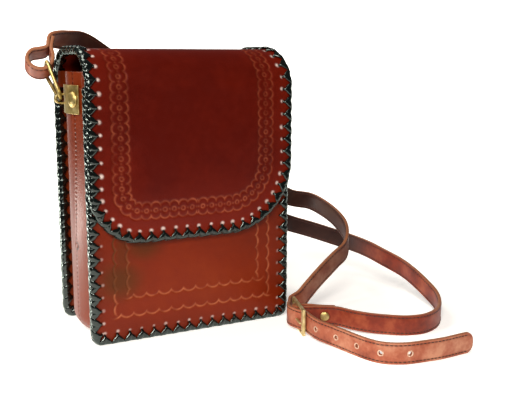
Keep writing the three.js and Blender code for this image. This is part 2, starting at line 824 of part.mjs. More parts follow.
// Through the buckle: along and off the frame, off in strap thicknesses from the frame's plane.
const throughBuckle = [
  { along: 0, off: 1.4 },
  { along: 0.18, off: 2.2 },
  { along: 0.38, off: 2.48 },
  { along: 0.56, off: 1.85 },
  { along: 0.72, off: 0.7 },
  { along: 0.85, off: -0.5 },
  { along: 0.93, off: -1.17 },
  { along: 1.09, off: -1.35 },
];

// The free end in front of the buckle.
const freeEnd = [
  { out: -0.102, front: 0.686, rise: 0.027 },
  { out: -0.074, front: 0.741, rise: 0.016 },
  { out: -0.047, front: 0.796, rise: 0.007 },
  { out: -0.025, front: 0.847, rise: 0 },
  { out: -0.004, front: 0.899, rise: 0 },
  { out: 0.032, front: 0.94, rise: 0 },
  { out: 0.087, front: 0.965, rise: 0 },
  { out: 0.153, front: 0.981, rise: 0 },
  { out: 0.264, front: 0.991, rise: 0 },
  { out: 0.378, front: 0.997, rise: 0 },
  { out: 0.556, front: 0.993, rise: 0 },
];

function besidePoint(row) {
  return new THREE.Vector3(
    bagWidth / 2 + row.out * layWidth,
    bagDepth / 2 - row.front * layDepth,
    strapWidth / 2 + row.rise * layRise,
  );
}

function besideRoute(rows, upright) {
  return rows.map((row) => ({
    point: besidePoint(row),
    width: row.lean ? new THREE.Vector3(...row.lean) : new THREE.Vector3(0, 0, upright),
  }));
}

function behindRoute() {
  return behindBag.map((row) => ({
    point: new THREE.Vector3(
      row.x * bagWidth,
      bagDepth / 2 + row.back * bagDepth,
      row.high * bagHeight,
    ),
    width: new THREE.Vector3(...row.lean),
  }));
}

// Buckle frame axes: along runs from the far bar to the front bar, off is its outer face.
const frameAngle = THREE.MathUtils.degToRad(buckleTurn);
const frameAlong = new THREE.Vector3(Math.cos(frameAngle), Math.sin(frameAngle), 0);
const frameOff = new THREE.Vector3(Math.sin(frameAngle), -Math.cos(frameAngle), 0);
const frameHeight = strapWidth + windowSlack + 2 * frameRail;
const farBarCentre = besidePoint({ out: farBarOut, front: farBarFront, rise: 0 }).setZ(frameHeight / 2);
const barReach = Math.hypot(barHalf, frameThick / 2);
const tongueOff = barReach + gap + tongueRadius;

function framePoint(along, off, up) {
  return farBarCentre
    .clone()
    .addScaledVector(frameAlong, along)
    .addScaledVector(frameOff, off)
    .addScaledVector(upAxis, up);
}

function buckleRoute() {
  return throughBuckle.map((row) => ({
    point: framePoint(row.along * frameLength, row.off * strapThick, 0),
    width: new THREE.Vector3(0, 0, -1),
  }));
}

// The end of each strap half that loops through its ring. The left one leads up over the bag.
const leadLeft = [0.3, 0.42, 0.86];

function ringFold(side) {
  const frame = ringFrame(side);
  const lead = side < 0 ? new THREE.Vector3(...leadLeft) : frame.along.clone();
  const along = lead.addScaledVector(frame.bar, -lead.dot(frame.bar)).normalize();
  const seat = wire / 2 + 2 * gap + strapThick / 2;
  const bar = { centre: frame.barCentre, along, width: frame.bar, seat };
  const slide = side < 0 ? ringSlideLeft : ringSlideRight;
  return foldRoute(bar, ringTail, ringTurn, slide);
}

function buckleBar() {
  const angle = THREE.MathUtils.degToRad(buckleStrapTurn);
  const along = new THREE.Vector3(Math.cos(angle), Math.sin(angle), 0);
  const seat = barReach + gap + strapThick / 2;
  return { centre: framePoint(centreBarAt, 0, 0), along, width: upAxis.clone(), seat };
}

function stationAt(stations, fromEnd) {
  let left = fromEnd;
  for (let i = stations.length - 1; i > 0; i -= 1) {
    const length = stations[i].origin.distanceTo(stations[i - 1].origin);
    if (left <= length) {
      const origin = stations[i].origin.clone().lerp(stations[i - 1].origin, left / length);
      return { origin, out: stations[i].out };
    }
    left -= length;
  }
  return stations[0];
}

// Rounded tip: rows of the last corner length, narrowing along a quarter circle.
function withTip(stations) {
  const last = stations[stations.length - 1];
  const steps = [0.35, 0.65, 0.85, 0.96, 1];
  const tips = steps.map((share) => ({
    ...last,
    origin: last.origin.clone().addScaledVector(last.tangent, share * tipCorner),
    halfWidth: strapWidth / 2 - tipCorner + tipCorner * Math.sqrt(1 - share ** 2) + strapBevel,
  }));
  tips.forEach((tip) => {
    tip.halfWidth = Math.min(tip.halfWidth, strapWidth / 2);
  });
  return [...stations, ...tips];
}

// Long half: from the left ring, behind the bag, round to the buckle and on to its free end.
function strapLong() {
  const upright = -1;
  const route = [
    ...ringFold(-1),
    ...behindRoute(),
    ...besideRoute(besideLong, upright),
    ...buckleRoute(),
    ...besideRoute(freeEnd, upright),
  ];
  const stations = withTip(ribbonStations(route, strapStep));
  const holes = Array.from({ length: holeCount }, (_, i) => {
    const station = stationAt(stations, tipToHole + i * holePitch);
    return pinGeometry(holeRadius, 3 * strapThick, station.origin, station.out, 10);
  });
  const start = framePoint(centreBarAt, tongueOff, 0);
  const end = framePoint(frameLength, tongueOff, 0);
  const middle = start.clone().lerp(end, 0.5);
  const way = end.clone().sub(start);
  const slot = pinGeometry(tongueRadius + gap, way.length(), middle, way, 10);
  return drill(ribbonBody(stations), [...holes, slot]);
}

// Buckle half: from the right ring, out along the floor and back to the buckle's centre bar.
function strapBuckle() {
  const route = [
    ...ringFold(1),
    ...besideRoute(besideBuckle, 1),
    ...foldRoute(buckleBar(), buckleTail, buckleBar().seat, 0).reverse(),
  ];
  const { centre, direction } = strapRivetSeat();
  const pin = pinGeometry(shankRadius + gap, 6 * strapThick, centre, direction, 12);
  return drill(ribbonBody(ribbonStations(route, strapStep)), [pin, tongueSlot()]);
}

// Slot in the turn round the centre bar, so that the tongue swings.
function tongueSlot() {
  const width = 2 * (tongueRadius + 2 * gap);
  const slot = new THREE.BoxGeometry(tongueSlotLength, tongueSlotLength, width);
  slot.rotateZ(frameAngle);
  const centre = framePoint(centreBarAt, 0, 0);
  slot.translate(centre.x, centre.y, centre.z);
  return mergeByPosition(slot);
}

function strapRivetSeat() {
  const bar = buckleBar();
  const side = bar.width.clone().cross(bar.along).normalize();
  const offset = (strapThick + gap) / 2 + strapThick / 2;
  const centre = bar.centre.clone().addScaledVector(bar.along, rivetAlong);
  return { centre: centre.addScaledVector(side, -offset), direction: side.negate() };
}

function strapRivet() {
  const { centre, direction } = strapRivetSeat();
  return rivet(strapDome, 2 * strapThick + gap, centre, direction);
}

function slab(corners, thickness) {
  const face = (off) => corners.map(([along, up]) => framePoint(along, off, up));
  return toSolid(bodyFromRings([face(-thickness / 2), face(thickness / 2)], false));
}

function buckleFrame() {
  const end = frameLength + frontBarWidth / 2;
  const top = frameHeight / 2;
  const windowEnd = frameLength - frontBarWidth / 2;
  const windowTop = top - frameRail;
  const outline = slab([[-barHalf, -top], [end, -top], [end, top], [-barHalf, top]], frameThick);
  const windows = [
    [barHalf, centreBarAt - barHalf],
    [centreBarAt + barHalf, windowEnd],
  ].map(([from, to]) =>
    slab([[from, -windowTop], [to, -windowTop], [to, windowTop], [from, windowTop]], 2 * frameThick),
  );
  return fromSolid(windows.reduce((left, window) => left.subtract(window), outline));
}

// Tongue: a wire looped round the centre bar, lying through the strap onto the front bar.
function buckleTongue() {
  const loopSteps = 8;
  const path = Array.from({ length: loopSteps + 1 }, (_, i) => {
    const angle = THREE.MathUtils.degToRad(350 - (260 * i) / loopSteps);
    return [centreBarAt + tongueOff * Math.cos(angle), tongueOff * Math.sin(angle)];
  });
  path.push([frameLength + frontBarWidth / 2, tongueOff]);
  const rings = path.map(([along, off], i) => {
    const before = path[Math.max(i - 1, 0)];
    const after = path[Math.min(i + 1, path.length - 1)];
    const way = new THREE.Vector2(after[0] - before[0], after[1] - before[1]).normalize();
    const first = frameAlong.clone().multiplyScalar(way.y).addScaledVector(frameOff, -way.x);
    return circle(framePoint(along, off, 0), first, upAxis, tongueRadius, 8);
  });
  return bodyFromRings(rings, false);
}

addPart("front_panel", frontPanel(), redLeather);
addPart("back_flap", backFlap(), redLeather);
addPart("gusset", drill(gusset(), [clipPin(-1), clipPin(1)]), gussetRed);
addPart("front_lacing", bodyLacing(-1), laceBlack);
addPart("back_lacing", bodyLacing(1), laceBlack);
addPart("flap_lacing", flapLacing(), laceBlack);
addPart("ring_clip_left", clip(-1), brass);
addPart("ring_clip_right", clip(1), brass);
addPart("clip_rivet_left", clipRivet(-1), brass);
addPart("clip_rivet_right", clipRivet(1), brass);
addPart("ring_left", ring(-1), brass);
addPart("ring_right", ring(1), brass);
addPart("strap_long", strapLong(), strapRed);
addPart("strap_buckle", strapBuckle(), strapRed);
addPart("strap_rivet", strapRivet(), brass);
addPart("buckle_frame", buckleFrame(), brass);
addPart("buckle_tongue", buckleTongue(), brass);

export default bagGroup;
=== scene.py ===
import bpy, bmesh, math
import numpy as np
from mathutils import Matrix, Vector


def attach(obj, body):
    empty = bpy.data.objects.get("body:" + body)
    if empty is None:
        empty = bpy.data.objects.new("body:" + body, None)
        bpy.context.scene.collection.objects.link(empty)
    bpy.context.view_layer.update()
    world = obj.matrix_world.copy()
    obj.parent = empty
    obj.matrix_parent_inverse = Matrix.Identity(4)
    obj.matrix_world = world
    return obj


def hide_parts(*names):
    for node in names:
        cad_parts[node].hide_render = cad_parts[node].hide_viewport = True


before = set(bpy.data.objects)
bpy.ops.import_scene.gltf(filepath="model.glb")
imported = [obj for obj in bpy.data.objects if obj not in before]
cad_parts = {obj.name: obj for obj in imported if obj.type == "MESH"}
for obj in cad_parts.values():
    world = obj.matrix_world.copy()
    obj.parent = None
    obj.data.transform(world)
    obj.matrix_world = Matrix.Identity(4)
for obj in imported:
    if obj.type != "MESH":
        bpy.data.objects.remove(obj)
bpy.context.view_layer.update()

# Front panel: one piece of vegetable-tanned hide, dyed red-brown, with stamped wave lines along its
# edges. It is laced to the gusset down both sides and along the bottom.
# Sizes are in millimetres, and a mesh is turned to metres when it is made.
BODY_SIZE = np.array((167.0, 88.0, 220.0))
PANEL_HALF = 82.0
PANEL_FLOOR = 1.5
PANEL_TOP = 190.0
PANEL_FACE = 42.5
HIDE_THICK = 2.5
PANEL_CORNER = 7.0
PANEL_CROWN = 1.4
CROWN_START = 8.45
CROWN_EASE = 45.0
# the flap covers the panel from here up, so its rows are wider apart there
PANEL_COVERED = 84
PANEL_COLUMNS = 235
HOLE_INSET = 5.6
GLINT_SHIFT = 1.6
LACE_PITCH = 9.7
lace_seed = np.random.default_rng(11)
mark_seed = np.random.default_rng(5)


def linear(code):
    parts = [int(code[i : i + 2], 16) / 255 for i in (1, 3, 5)]
    return (*(v / 12.92 if v <= 0.04045 else ((v + 0.055) / 1.055) ** 2.4 for v in parts), 1.0)


def add_node(tree, kind, settings=None, links=None):
    """Adds a shader node. Each link comes from a socket or from a node's first output."""
    node = tree.nodes.new("ShaderNode" + kind)
    for key, value in (settings or {}).items():
        if isinstance(key, str) and hasattr(node, key):
            setattr(node, key, value)
        else:
            node.inputs[key].default_value = value
    for key, source in (links or {}).items():
        socket = source if isinstance(source, bpy.types.NodeSocket) else source.outputs[0]
        tree.links.new(socket, node.inputs[key])
    return node


def new_material(name):
    material = bpy.data.materials.new(name)
    material.use_nodes = True
    tree = material.node_tree
    tree.nodes.clear()
    return material, tree, add_node(tree, "TexCoord").outputs["Object"]


def ramp_stops(node, stops):
    ramp = node.color_ramp
    while len(ramp.elements) < len(stops):
        ramp.elements.new(0.5)
    for element, (place, code) in zip(ramp.elements, stops):
        element.position = place
        element.color = linear(code)


def laid_over(tree, colour, layers):
    """Mixes colours over what lies beneath them, each by its share of the face and its strength."""
    for share, strength, code in layers:
        part = add_node(tree, "Math", {"operation": "MULTIPLY", 1: strength}, {0: share})
        mixed = add_node(tree, "Mix", {"data_type": "RGBA", 7: linear(code)}, {0: part, 6: colour})
        colour = mixed.outputs[2]
    return colour


# Vegetable-tanned hide, dyed by hand and waxed: the dye lies darker in the middle and warmer near the
# edges, the grain is fine and pored, stamped lines are worn paler and carry a painted highlight, pale
# spots beside the laced holes are painted highlights, and the wax gives a soft shine.
def waxed_hide(name, deep, middle, warm, stamped, shine, level=0.2):
    material, tree, place = new_material(name)
    facts = ("tone", "stamp", "hole_glint", "olive")
    tone, stamp, hole_glint, olive = (
        add_node(tree, "Attribute", {"attribute_name": key}).outputs["Fac"] for key in facts
    )
    # dye pools about 35 mm across, handling marks about 6 mm across, fine creases and pores 0.7 mm apart
    pools, marks, creases = (
        add_node(tree, "TexNoise", {"Scale": scale, "Detail": detail}, {"Vector": place})
        for scale, detail in ((28.0, 4.0), (160.0, 6.0), (620.0, 5.0))
    )
    pores = add_node(tree, "TexVoronoi", {"Scale": 1400.0}, {"Vector": place})
    pooled = add_node(tree, "Math", {"operation": "MULTIPLY_ADD", 1: 0.4}, {0: pools, 2: tone})
    marked = add_node(tree, "Math", {"operation": "MULTIPLY_ADD", 1: 0.2}, {0: marks, 2: pooled})
    centred = add_node(tree, "Math", {"operation": "SUBTRACT", 1: 0.3}, {0: marked})
    dye = add_node(tree, "ValToRGB", links={0: centred})
    ramp_stops(dye, [(0.0, deep), (0.45, middle), (1.0, warm)])
    limits = {"From Min": 0.35, "From Max": 0.65, "To Min": 0.15, "To Max": 0.7}
    rubbed = add_node(tree, "MapRange", limits, {"Value": marks})
    # the pale stamped colour is worn hide and a painted highlight on the pressed edges
    stamping = add_node(tree, "Math", {"operation": "MULTIPLY"}, {0: stamp, 1: rubbed})
    # f4ddd4 paints highlights where the thong enters each laced hole
    colour = laid_over(tree, dye, ((olive, 1.0, "#3a2a04"), (stamping, 1.0, stamped), (hole_glint, 1.0, "#f4ddd4")))
    rough = add_node(tree, "MapRange", {"To Min": shine, "To Max": shine + 0.22}, {"Value": marks})
    pitted = add_node(tree, "Bump", {"Strength": 0.25, "Distance": 0.00012}, {"Height": pores})
    creased = add_node(
        tree, "Bump", {"Strength": 0.5, "Distance": 0.00022}, {"Height": creases, "Normal": pitted}
    )
    skin = add_node(
        tree,
        "BsdfPrincipled",
        {"IOR": 1.42, "Specular IOR Level": level, "Coat Weight": 0.05, "Coat Roughness": 0.25},
        {"Base Color": colour, "Roughness": rough, "Normal": creased},
    )
    add_node(tree, "OutputMaterial", links={0: skin})
    return material


def make_piece(name, points, faces, material, nodes=(), facts=None):
    mesh = bpy.data.meshes.new(name)
    mesh.from_pydata((np.asarray(points) * 0.001).tolist(), [], faces)
    for key, values in (facts or {}).items():
        mesh.attributes.new(key, "FLOAT", "POINT").data.foreach_set("value", np.asarray(values, float))
    # poles meet in one point, ends of thong and thread are closed, and faces look outward
    body = bmesh.new()
    body.from_mesh(mesh)
    bmesh.ops.remove_doubles(body, verts=body.verts, dist=1e-7)
    ends = [edge for edge in body.edges if edge.is_boundary]
    bmesh.ops.holes_fill(body, edges=ends, sides=12)
    bmesh.ops.recalc_face_normals(body, faces=body.faces)
    body.to_mesh(mesh)
    body.free()
    mesh.polygons.foreach_set("use_smooth", [True] * len(mesh.polygons))
    mesh.materials.append(material)
    piece = bpy.data.objects.new(name, mesh)
    bpy.context.scene.collection.objects.link(piece)
    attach(piece, "root")
    if nodes:
        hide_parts(*nodes)
    return piece


def unit(rows):
    return rows / np.linalg.norm(rows, axis=-1, keepdims=True)


def ways_left(line):
    """Unit ways to the left of a flat line's run."""
    ways = unit(np.gradient(line, axis=0))
    return np.stack((-ways[:, 1], ways[:, 0]), 1)


def at_marks(marks, run, places):
    """Places at given distances along a run."""
    return np.stack([np.interp(marks, run, column) for column in places.T], 1)


def grid_faces(index):
    corners = (index[:-1, :-1], index[:-1, 1:], index[1:, 1:], index[1:, :-1])
    return np.stack(corners, axis=-1).reshape(-1, 4)


def tube_faces(rows, sides, closed=False):
    index = np.arange(rows * sides).reshape(rows, sides)
    if closed:
        index = np.vstack((index, index[:1]))
    return grid_faces(np.hstack((index, index[:, :1])))


def end_caps(rows, sides):
    return [list(range(sides))[::-1], list(range((rows - 1) * sides, rows * sides))]


def round_run(x, y, radius, start, end, count):
    angle = np.linspace(start, end, count)
    return np.stack((x + radius * np.cos(angle), y + radius * np.sin(angle)), 1)


def hide_sheet(outer, inner, row_step, column_step):
    """Points and faces of a cut hide: a fine outer face, a coarser inner face and the cut edge."""
    rows, columns = outer.shape[:2]
    index = np.arange(rows * columns).reshape(rows, columns)
    faces = grid_faces(index).tolist()
    run = (
        [(0, i) for i in range(columns - 1)]
        + [(i, columns - 1) for i in range(rows - 1)]
        + [(rows - 1, i) for i in range(columns - 1, 0, -1)]
        + [(i, 0) for i in range(rows - 1, 0, -1)]
    )
    at = tuple(np.array(run).T)
    rim = rows * columns + np.arange(len(run))
    edge = index[at]
    faces += np.stack((np.roll(edge, -1), edge, rim, np.roll(rim, -1)), axis=-1).tolist()
    r = [i for i in range(rows) if i % row_step == 0 or i == rows - 1]
    c = [i for i in range(columns) if i % column_step == 0 or i == columns - 1]
    # the inner face is coarse inside, and takes every point of the cut edge at its border
    inner_index = np.full((rows, columns), -1)
    inner_index[at] = rim
    kept = tuple(np.array([(i, j) for i in r[1:-1] for j in c[1:-1]]).T)
    total = rows * columns + len(run) + len(kept[0])
    inner_index[kept] = np.arange(rows * columns + len(run), total)
    for top, low in zip(r[:-1], r[1:]):
        for left, right in zip(c[:-1], c[1:]):
            up = range(low, top, -1) if left == 0 else (low,)
            along = range(left, right) if top == 0 else (left,)
            down = range(top, low) if right == columns - 1 else (top,)
            back = range(right, left, -1) if low == rows - 1 else (right,)
            loop = [inner_index[i, left] for i in up] + [inner_index[top, j] for j in along]
            loop += [inner_index[i, right] for i in down] + [inner_index[low, j] for j in back]
            faces.append([int(i) for i in loop[::-1]])
    return np.concatenate((outer.reshape(-1, 3), inner[at], inner[kept])), faces


def make_hide(name, outer, inner, steps, material, node, inner_tone, facts):
    """Makes a cut hide. facts tell of the outer face, and the rest takes inner_tone or nothing."""
    points, faces = hide_sheet(outer, inner, *steps)
    shape = outer.shape[:2]
    rest = np.ones(len(points) - shape[0] * shape[1])
    whole = {
        key: np.concatenate((np.broadcast_to(values, shape).ravel(), rest * inner_tone * (key == "tone")))
        for key, values in facts.items()
    }
    make_piece(name, points, faces, material, [node], whole)


def crown(edge_distance, height):
    share = np.clip((edge_distance - CROWN_START) / CROWN_EASE, 0, 1)
    return height * np.sin(math.pi / 2 * share)


def arc_row(along, off, pitch, rise, width):
    """Strength of a row of stamped arcs that bulge towards +off and meet in cusps."""
    across = (np.mod(along / pitch, 1.0) - 0.5) * pitch
    radius = (pitch**2 / 4 + rise**2) / (2 * rise)
    away = np.abs(np.hypot(across, off + radius - rise) - radius)
    return np.exp(-((away / width) ** 2)) * (off > -1.6) * (off < rise + 2)


def ring_row(along, off, pitch, radius, width):
    across = (np.mod(along / pitch, 1.0) - 0.5) * pitch
    return np.exp(-(((np.hypot(across, off) - radius) / width) ** 2))


def within(value, low, high, soft=1.0):
    return 1 / (1 + np.exp(-(value - low) / soft)) / (1 + np.exp((value - high) / soft))


def hole_marks(u, v, holes, radius, spread=0.0):
    """Nearness, from 0 to 1, of each point of a face to the laced holes, more or less alike."""
    mark = np.zeros_like(u)
    for hole_u, hole_v in holes:
        shift_u, shift_v, size, strength = spread * mark_seed.uniform(-1, 1, 4)
        near = np.hypot(u - hole_u - 0.5 * shift_u, v - hole_v - 0.5 * shift_v)
        near = np.exp(-((near / radius / (1 + 0.3 * size)) ** 4))
        mark = np.maximum(mark, near * (1 - 0.35 * abs(strength)))
    return mark


def body_edge(corner, top):
    """Edge of the body as dense places: down the left side, under the bag and up the right side."""
    x = PANEL_HALF - corner
    z = PANEL_FLOOR + corner
    left = np.stack((np.full(120, -PANEL_HALF), np.linspace(top, z, 120, endpoint=False)), 1)
    low_left = round_run(-x, z, corner, math.pi, 1.5 * math.pi, 25)
    low = np.stack((np.linspace(-x, x, 90)[1:-1], np.full(88, PANEL_FLOOR)), 1)
    low_right = round_run(x, z, corner, -math.pi / 2, 0, 25)
    right = np.stack((np.full(120, PANEL_HALF), np.linspace(z, top, 121)[1:]), 1)
    places = np.concatenate((left, low_left, low, low_right, right))
    return places, -ways_left(places)


def lace_places(length, pitch):
    count = int(round((length - pitch * 0.6) / pitch))
    return (np.arange(count) + 0.5) * length / count


def path_length(places):
    return np.concatenate(([0], np.cumsum(np.linalg.norm(np.diff(places, axis=0), axis=1))))


edge_places, edge_outs = body_edge(PANEL_CORNER, PANEL_TOP - 0.3)
edge_run = path_length(edge_places)
body_laces = lace_places(edge_run[-1], LACE_PITCH)


def places_in(laces, run, places, outs, inset):
    """Places at the laces' marks along an edge, a distance in from it."""
    return at_marks(laces, run, places) - inset * at_marks(laces, run, outs)


body_holes = places_in(body_laces, edge_run, edge_places, edge_outs, HOLE_INSET)
# places of the painted highlights beside the holes, a little further in than the holes
body_glint_spots = places_in(body_laces, edge_run, edge_places, edge_outs, HOLE_INSET + GLINT_SHIFT)

corner_turn = np.linspace(0, math.pi / 2, 12)
panel_z = np.concatenate(
    (
        PANEL_FLOOR + PANEL_CORNER * (1 - np.cos(corner_turn)),
        np.arange(PANEL_FLOOR + PANEL_CORNER + 0.6, PANEL_COVERED, 0.6),
        np.linspace(PANEL_COVERED, PANEL_TOP, 22),
    )
)
drop = np.clip(PANEL_FLOOR + PANEL_CORNER - panel_z, 0, PANEL_CORNER)
reach = PANEL_HALF - PANEL_CORNER + np.sqrt(PANEL_CORNER**2 - drop**2)
panel_x = reach[:, None] * np.linspace(-1, 1, PANEL_COLUMNS)[None, :]
panel_z = np.repeat(panel_z[:, None], PANEL_COLUMNS, axis=1)
edge_away = np.minimum(np.minimum(PANEL_HALF - abs(panel_x), panel_z - PANEL_FLOOR), PANEL_TOP - panel_z)
WAVE_PITCH = 10.2
panel_stamp = np.maximum.reduce(
    [
        arc_row(panel_x, 36.0 - panel_z, WAVE_PITCH, 2.6, 0.62) * within(panel_x, -57, 60),
        arc_row(panel_x, 21.6 - panel_z, WAVE_PITCH, 2.6, 0.62) * within(panel_x, -66, 66),
        arc_row(panel_z, abs(panel_x) - 54.0, WAVE_PITCH, 2.0, 0.6) * within(panel_z, 36, 200),
        arc_row(panel_z, abs(panel_x) - 64.0, WAVE_PITCH, 2.0, 0.6) * within(panel_z, 22, 200),
    ]
)
panel_hole = hole_marks(panel_x, panel_z, body_holes, 1.7)
# painted highlights beside the laced holes, stronger along the bottom
panel_hole_glint = hole_marks(panel_x, panel_z, body_glint_spots, 1.1, 0.8) * (0.3 + 0.4 * (panel_z < 20))
sway = 0.25 * np.sin(panel_x / 23 + 1) * np.sin(panel_z / 31)
height = crown(edge_away, PANEL_CROWN) + sway * crown(edge_away, 1.0) - 0.5 * panel_stamp - 0.7 * panel_hole
panel_outer = np.stack((panel_x, -PANEL_FACE - height, panel_z), -1)
panel_inner = np.stack((panel_x, -PANEL_FACE + HIDE_THICK - crown(edge_away, PANEL_CROWN), panel_z), -1)
stained_side = within(panel_x, -90, -50, 3) * (panel_z > 38)
panel_olive = 0.75 * panel_stamp * stained_side
# olive stains: centre x and z, half width, half height, strength
stains = ((-61, 48, 16, 14, 0.62), (-42, 72, 13, 9, 0.5), (-59, 68, 6, 18, 0.4))
for stain_x, stain_z, wide, high, strength in stains:
    far = np.hypot((panel_x - stain_x) / wide, (panel_z - stain_z) / high)
    panel_olive = np.maximum(panel_olive, strength * np.exp(-(far**3)))
panel_hide = waxed_hide("dyed_panel_hide", "#541202", "#782204", "#923808", "#c8744c", 0.34)
panel_facts = {
    "tone": 0.32 + 0.25 * within(panel_x, -50, 60, 12) * within(panel_z, 20, 60, 10),
    "stamp": panel_stamp * (1 - 0.85 * stained_side),
    "hole_glint": panel_hole_glint,
    "olive": panel_olive,
}
make_hide(
    "front_panel_hide", panel_outer, panel_inner, (6, 6), panel_hide, "front_panel", 0.4,
    panel_facts,
)

# Back, arch and flap: one long hide that runs up the back, bends over the top and hangs down the
# front as the flap. Its lower corners are cut round, and a chain of stamped arcs follows its edge.
FLAP_BACK = 41.25
FLAP_FRONT = -47.05
ARCH_RADIUS = 28.75
ARCH_TOP = 218.75
FLAP_END = 78.5
CORNER_LEFT = 38.0
CORNER_RIGHT = 54.0
FLAP_CROWN = 1.6
TOP_INSET = 6.0
INSET_REACH = 60.0
CHAIN_OUTER = 18.0
CHAIN_INNER = 26.4
CHAIN_PITCH = 7.4
# how far under the arch's spring, at the back, the chain, all stamping and the fine rows start
CHAIN_UNDER = 26
STAMP_UNDER = 30
FINE_UNDER = 34
FLAP_COLUMNS = 213
EDGE_STEPS = 900
spring = ARCH_TOP - ARCH_RADIUS
up_length = spring - PANEL_FLOOR
arc_length = ARCH_RADIUS * math.pi / 2
top_length = FLAP_BACK - FLAP_FRONT - 2 * ARCH_RADIUS
arch_start = up_length
arch_end = up_length + 2 * arc_length + top_length
flap_length = arch_end + spring - FLAP_END
chain_middle = (CHAIN_OUTER + CHAIN_INNER) / 2


def hide_run(s):
    """Middle of the hide at a distance s along it, as y, z and the outward way's y and z."""
    s = np.asarray(s, float)
    first = np.clip((s - up_length) / ARCH_RADIUS, 0, math.pi / 2)
    second = np.clip((s - up_length - arc_length - top_length) / ARCH_RADIUS, 0, math.pi / 2)
    flat = np.clip(s - up_length - arc_length, 0, top_length)
    angle = first + second
    centre = FLAP_BACK - ARCH_RADIUS - flat
    y = centre + ARCH_RADIUS * np.cos(angle)
    below = np.clip(up_length - s, 0, None) + np.clip(s - arch_end, 0, None)
    z = spring + ARCH_RADIUS * np.sin(angle) - below
    return y, z, np.cos(angle), np.sin(angle)


def top_inset(s):
    away = (s - up_length - arc_length - top_length / 2) / INSET_REACH
    return np.where(abs(away) < 1, TOP_INSET * (1 + np.cos(math.pi * away)) / 2, 0)


def flap_side(s, side):
    corner = CORNER_LEFT if side < 0 else CORNER_RIGHT
    into = np.clip(s - (flap_length - corner), 0, corner)
    low = np.clip(PANEL_CORNER - s, 0, PANEL_CORNER)
    foot = PANEL_CORNER - np.sqrt(PANEL_CORNER**2 - low**2)
    rounding = corner - np.sqrt(corner**2 - into**2)
    inset = top_inset(s) if side > 0 else 0
    return side * (PANEL_HALF - rounding - foot - inset)


def flap_chain(x, s):
    """Distance in from the flap's edge, and the place along a line that runs parallel to that edge."""
    corner = np.where(x < 0, CORNER_LEFT, CORNER_RIGHT)
    past_side = abs(x) - (PANEL_HALF - corner)
    past_end = s - (flap_length - corner)
    in_corner = (past_side > 0) & (past_end > 0)
    sides = PANEL_HALF - abs(x) - np.where(x > 0, top_inset(s), 0) * 0.6
    from_end = flap_length - s
    from_back = s - (arch_start - CHAIN_UNDER)
    away = np.where(in_corner, corner - np.hypot(past_side, past_end), np.minimum(sides, from_end))
    turn = np.arctan2(np.clip(past_end, 1e-6, None), np.clip(past_side, 1e-6, None))
    corner_run = (corner - chain_middle) * turn
    bottom = from_end < sides
    run = np.where(in_corner, flap_length - corner + corner_run, np.where(bottom, 0, s))
    end = flap_length - corner + (corner - chain_middle) * math.pi / 2
    run = np.where(~in_corner & bottom, end + PANEL_HALF - corner - abs(x), run)
    on_back = from_back < away
    return np.where(on_back, from_back, away), np.where(on_back, x, run)


fine = np.arange(arch_start - FINE_UNDER, flap_length - CORNER_RIGHT, 0.78)
flap_s = np.concatenate(
    (
        PANEL_CORNER * (1 - np.cos(corner_turn)),
        np.linspace(PANEL_CORNER, arch_start - FINE_UNDER, 30)[1:-1],
        fine,
        flap_length - CORNER_RIGHT + CORNER_RIGHT * np.sin(np.linspace(0, math.pi / 2, 96)),
    )
)
left_x, right_x = flap_side(flap_s, -1), flap_side(flap_s, 1)
columns = np.linspace(0, 1, FLAP_COLUMNS)
flap_x = left_x[:, None] + (right_x - left_x)[:, None] * columns[None, :]
flap_s = np.repeat(flap_s[:, None], columns.size, axis=1)
y, z, out_y, out_z = hide_run(flap_s)
away, run = flap_chain(flap_x, flap_s)
edge_gap = np.minimum(away, flap_s - arch_end)
flap_stamp = np.maximum.reduce(
    [
        arc_row(run, CHAIN_OUTER - away, CHAIN_PITCH, 2.3, 0.6),
        arc_row(run, away - CHAIN_INNER, CHAIN_PITCH, 2.3, 0.6),
        ring_row(run, away - chain_middle, CHAIN_PITCH, 1.5, 0.55),
        0.8 * ring_row(run + CHAIN_PITCH / 2, away - chain_middle, CHAIN_PITCH, 0, 0.7),
    ]
)
flap_stamp = flap_stamp * (flap_s > arch_start - STAMP_UNDER)

left_s = np.concatenate(
    (
        np.linspace(arch_start + 0.3, flap_length - CORNER_LEFT, 260),
        flap_length - CORNER_LEFT + CORNER_LEFT * np.sin(np.linspace(0, math.pi / 2, 50)[1:]),
    )
)
right_s = np.concatenate(
    (
        flap_length - CORNER_RIGHT + CORNER_RIGHT * np.cos(np.linspace(0, math.pi / 2, 60)),
        np.linspace(flap_length - CORNER_RIGHT, arch_start + 0.3, 260)[1:],
    )
)
lace_x = np.concatenate((flap_side(left_s, -1), flap_side(right_s, 1)))
flap_edge = np.stack((lace_x, np.concatenate((left_s, right_s))), 1)
dense = path_length(flap_edge)
flap_edge = at_marks(np.linspace(0, dense[-1], EDGE_STEPS), dense, flap_edge)
flap_outs = ways_left(flap_edge)
flap_run = path_length(flap_edge)
flap_laces = lace_places(flap_run[-1], LACE_PITCH)
flap_holes = places_in(flap_laces, flap_run, flap_edge, flap_outs, HOLE_INSET)
# places of the painted highlights beside the flap's holes
flap_glint_spots = places_in(flap_laces, flap_run, flap_edge, flap_outs, HOLE_INSET + GLINT_SHIFT)
back_holes = np.stack((body_holes[:, 0], body_holes[:, 1] - PANEL_FLOOR), 1)
flap_hole = np.maximum(
    hole_marks(flap_x, flap_s, flap_holes, 1.7), hole_marks(flap_x, flap_s, back_holes, 1.7)
)
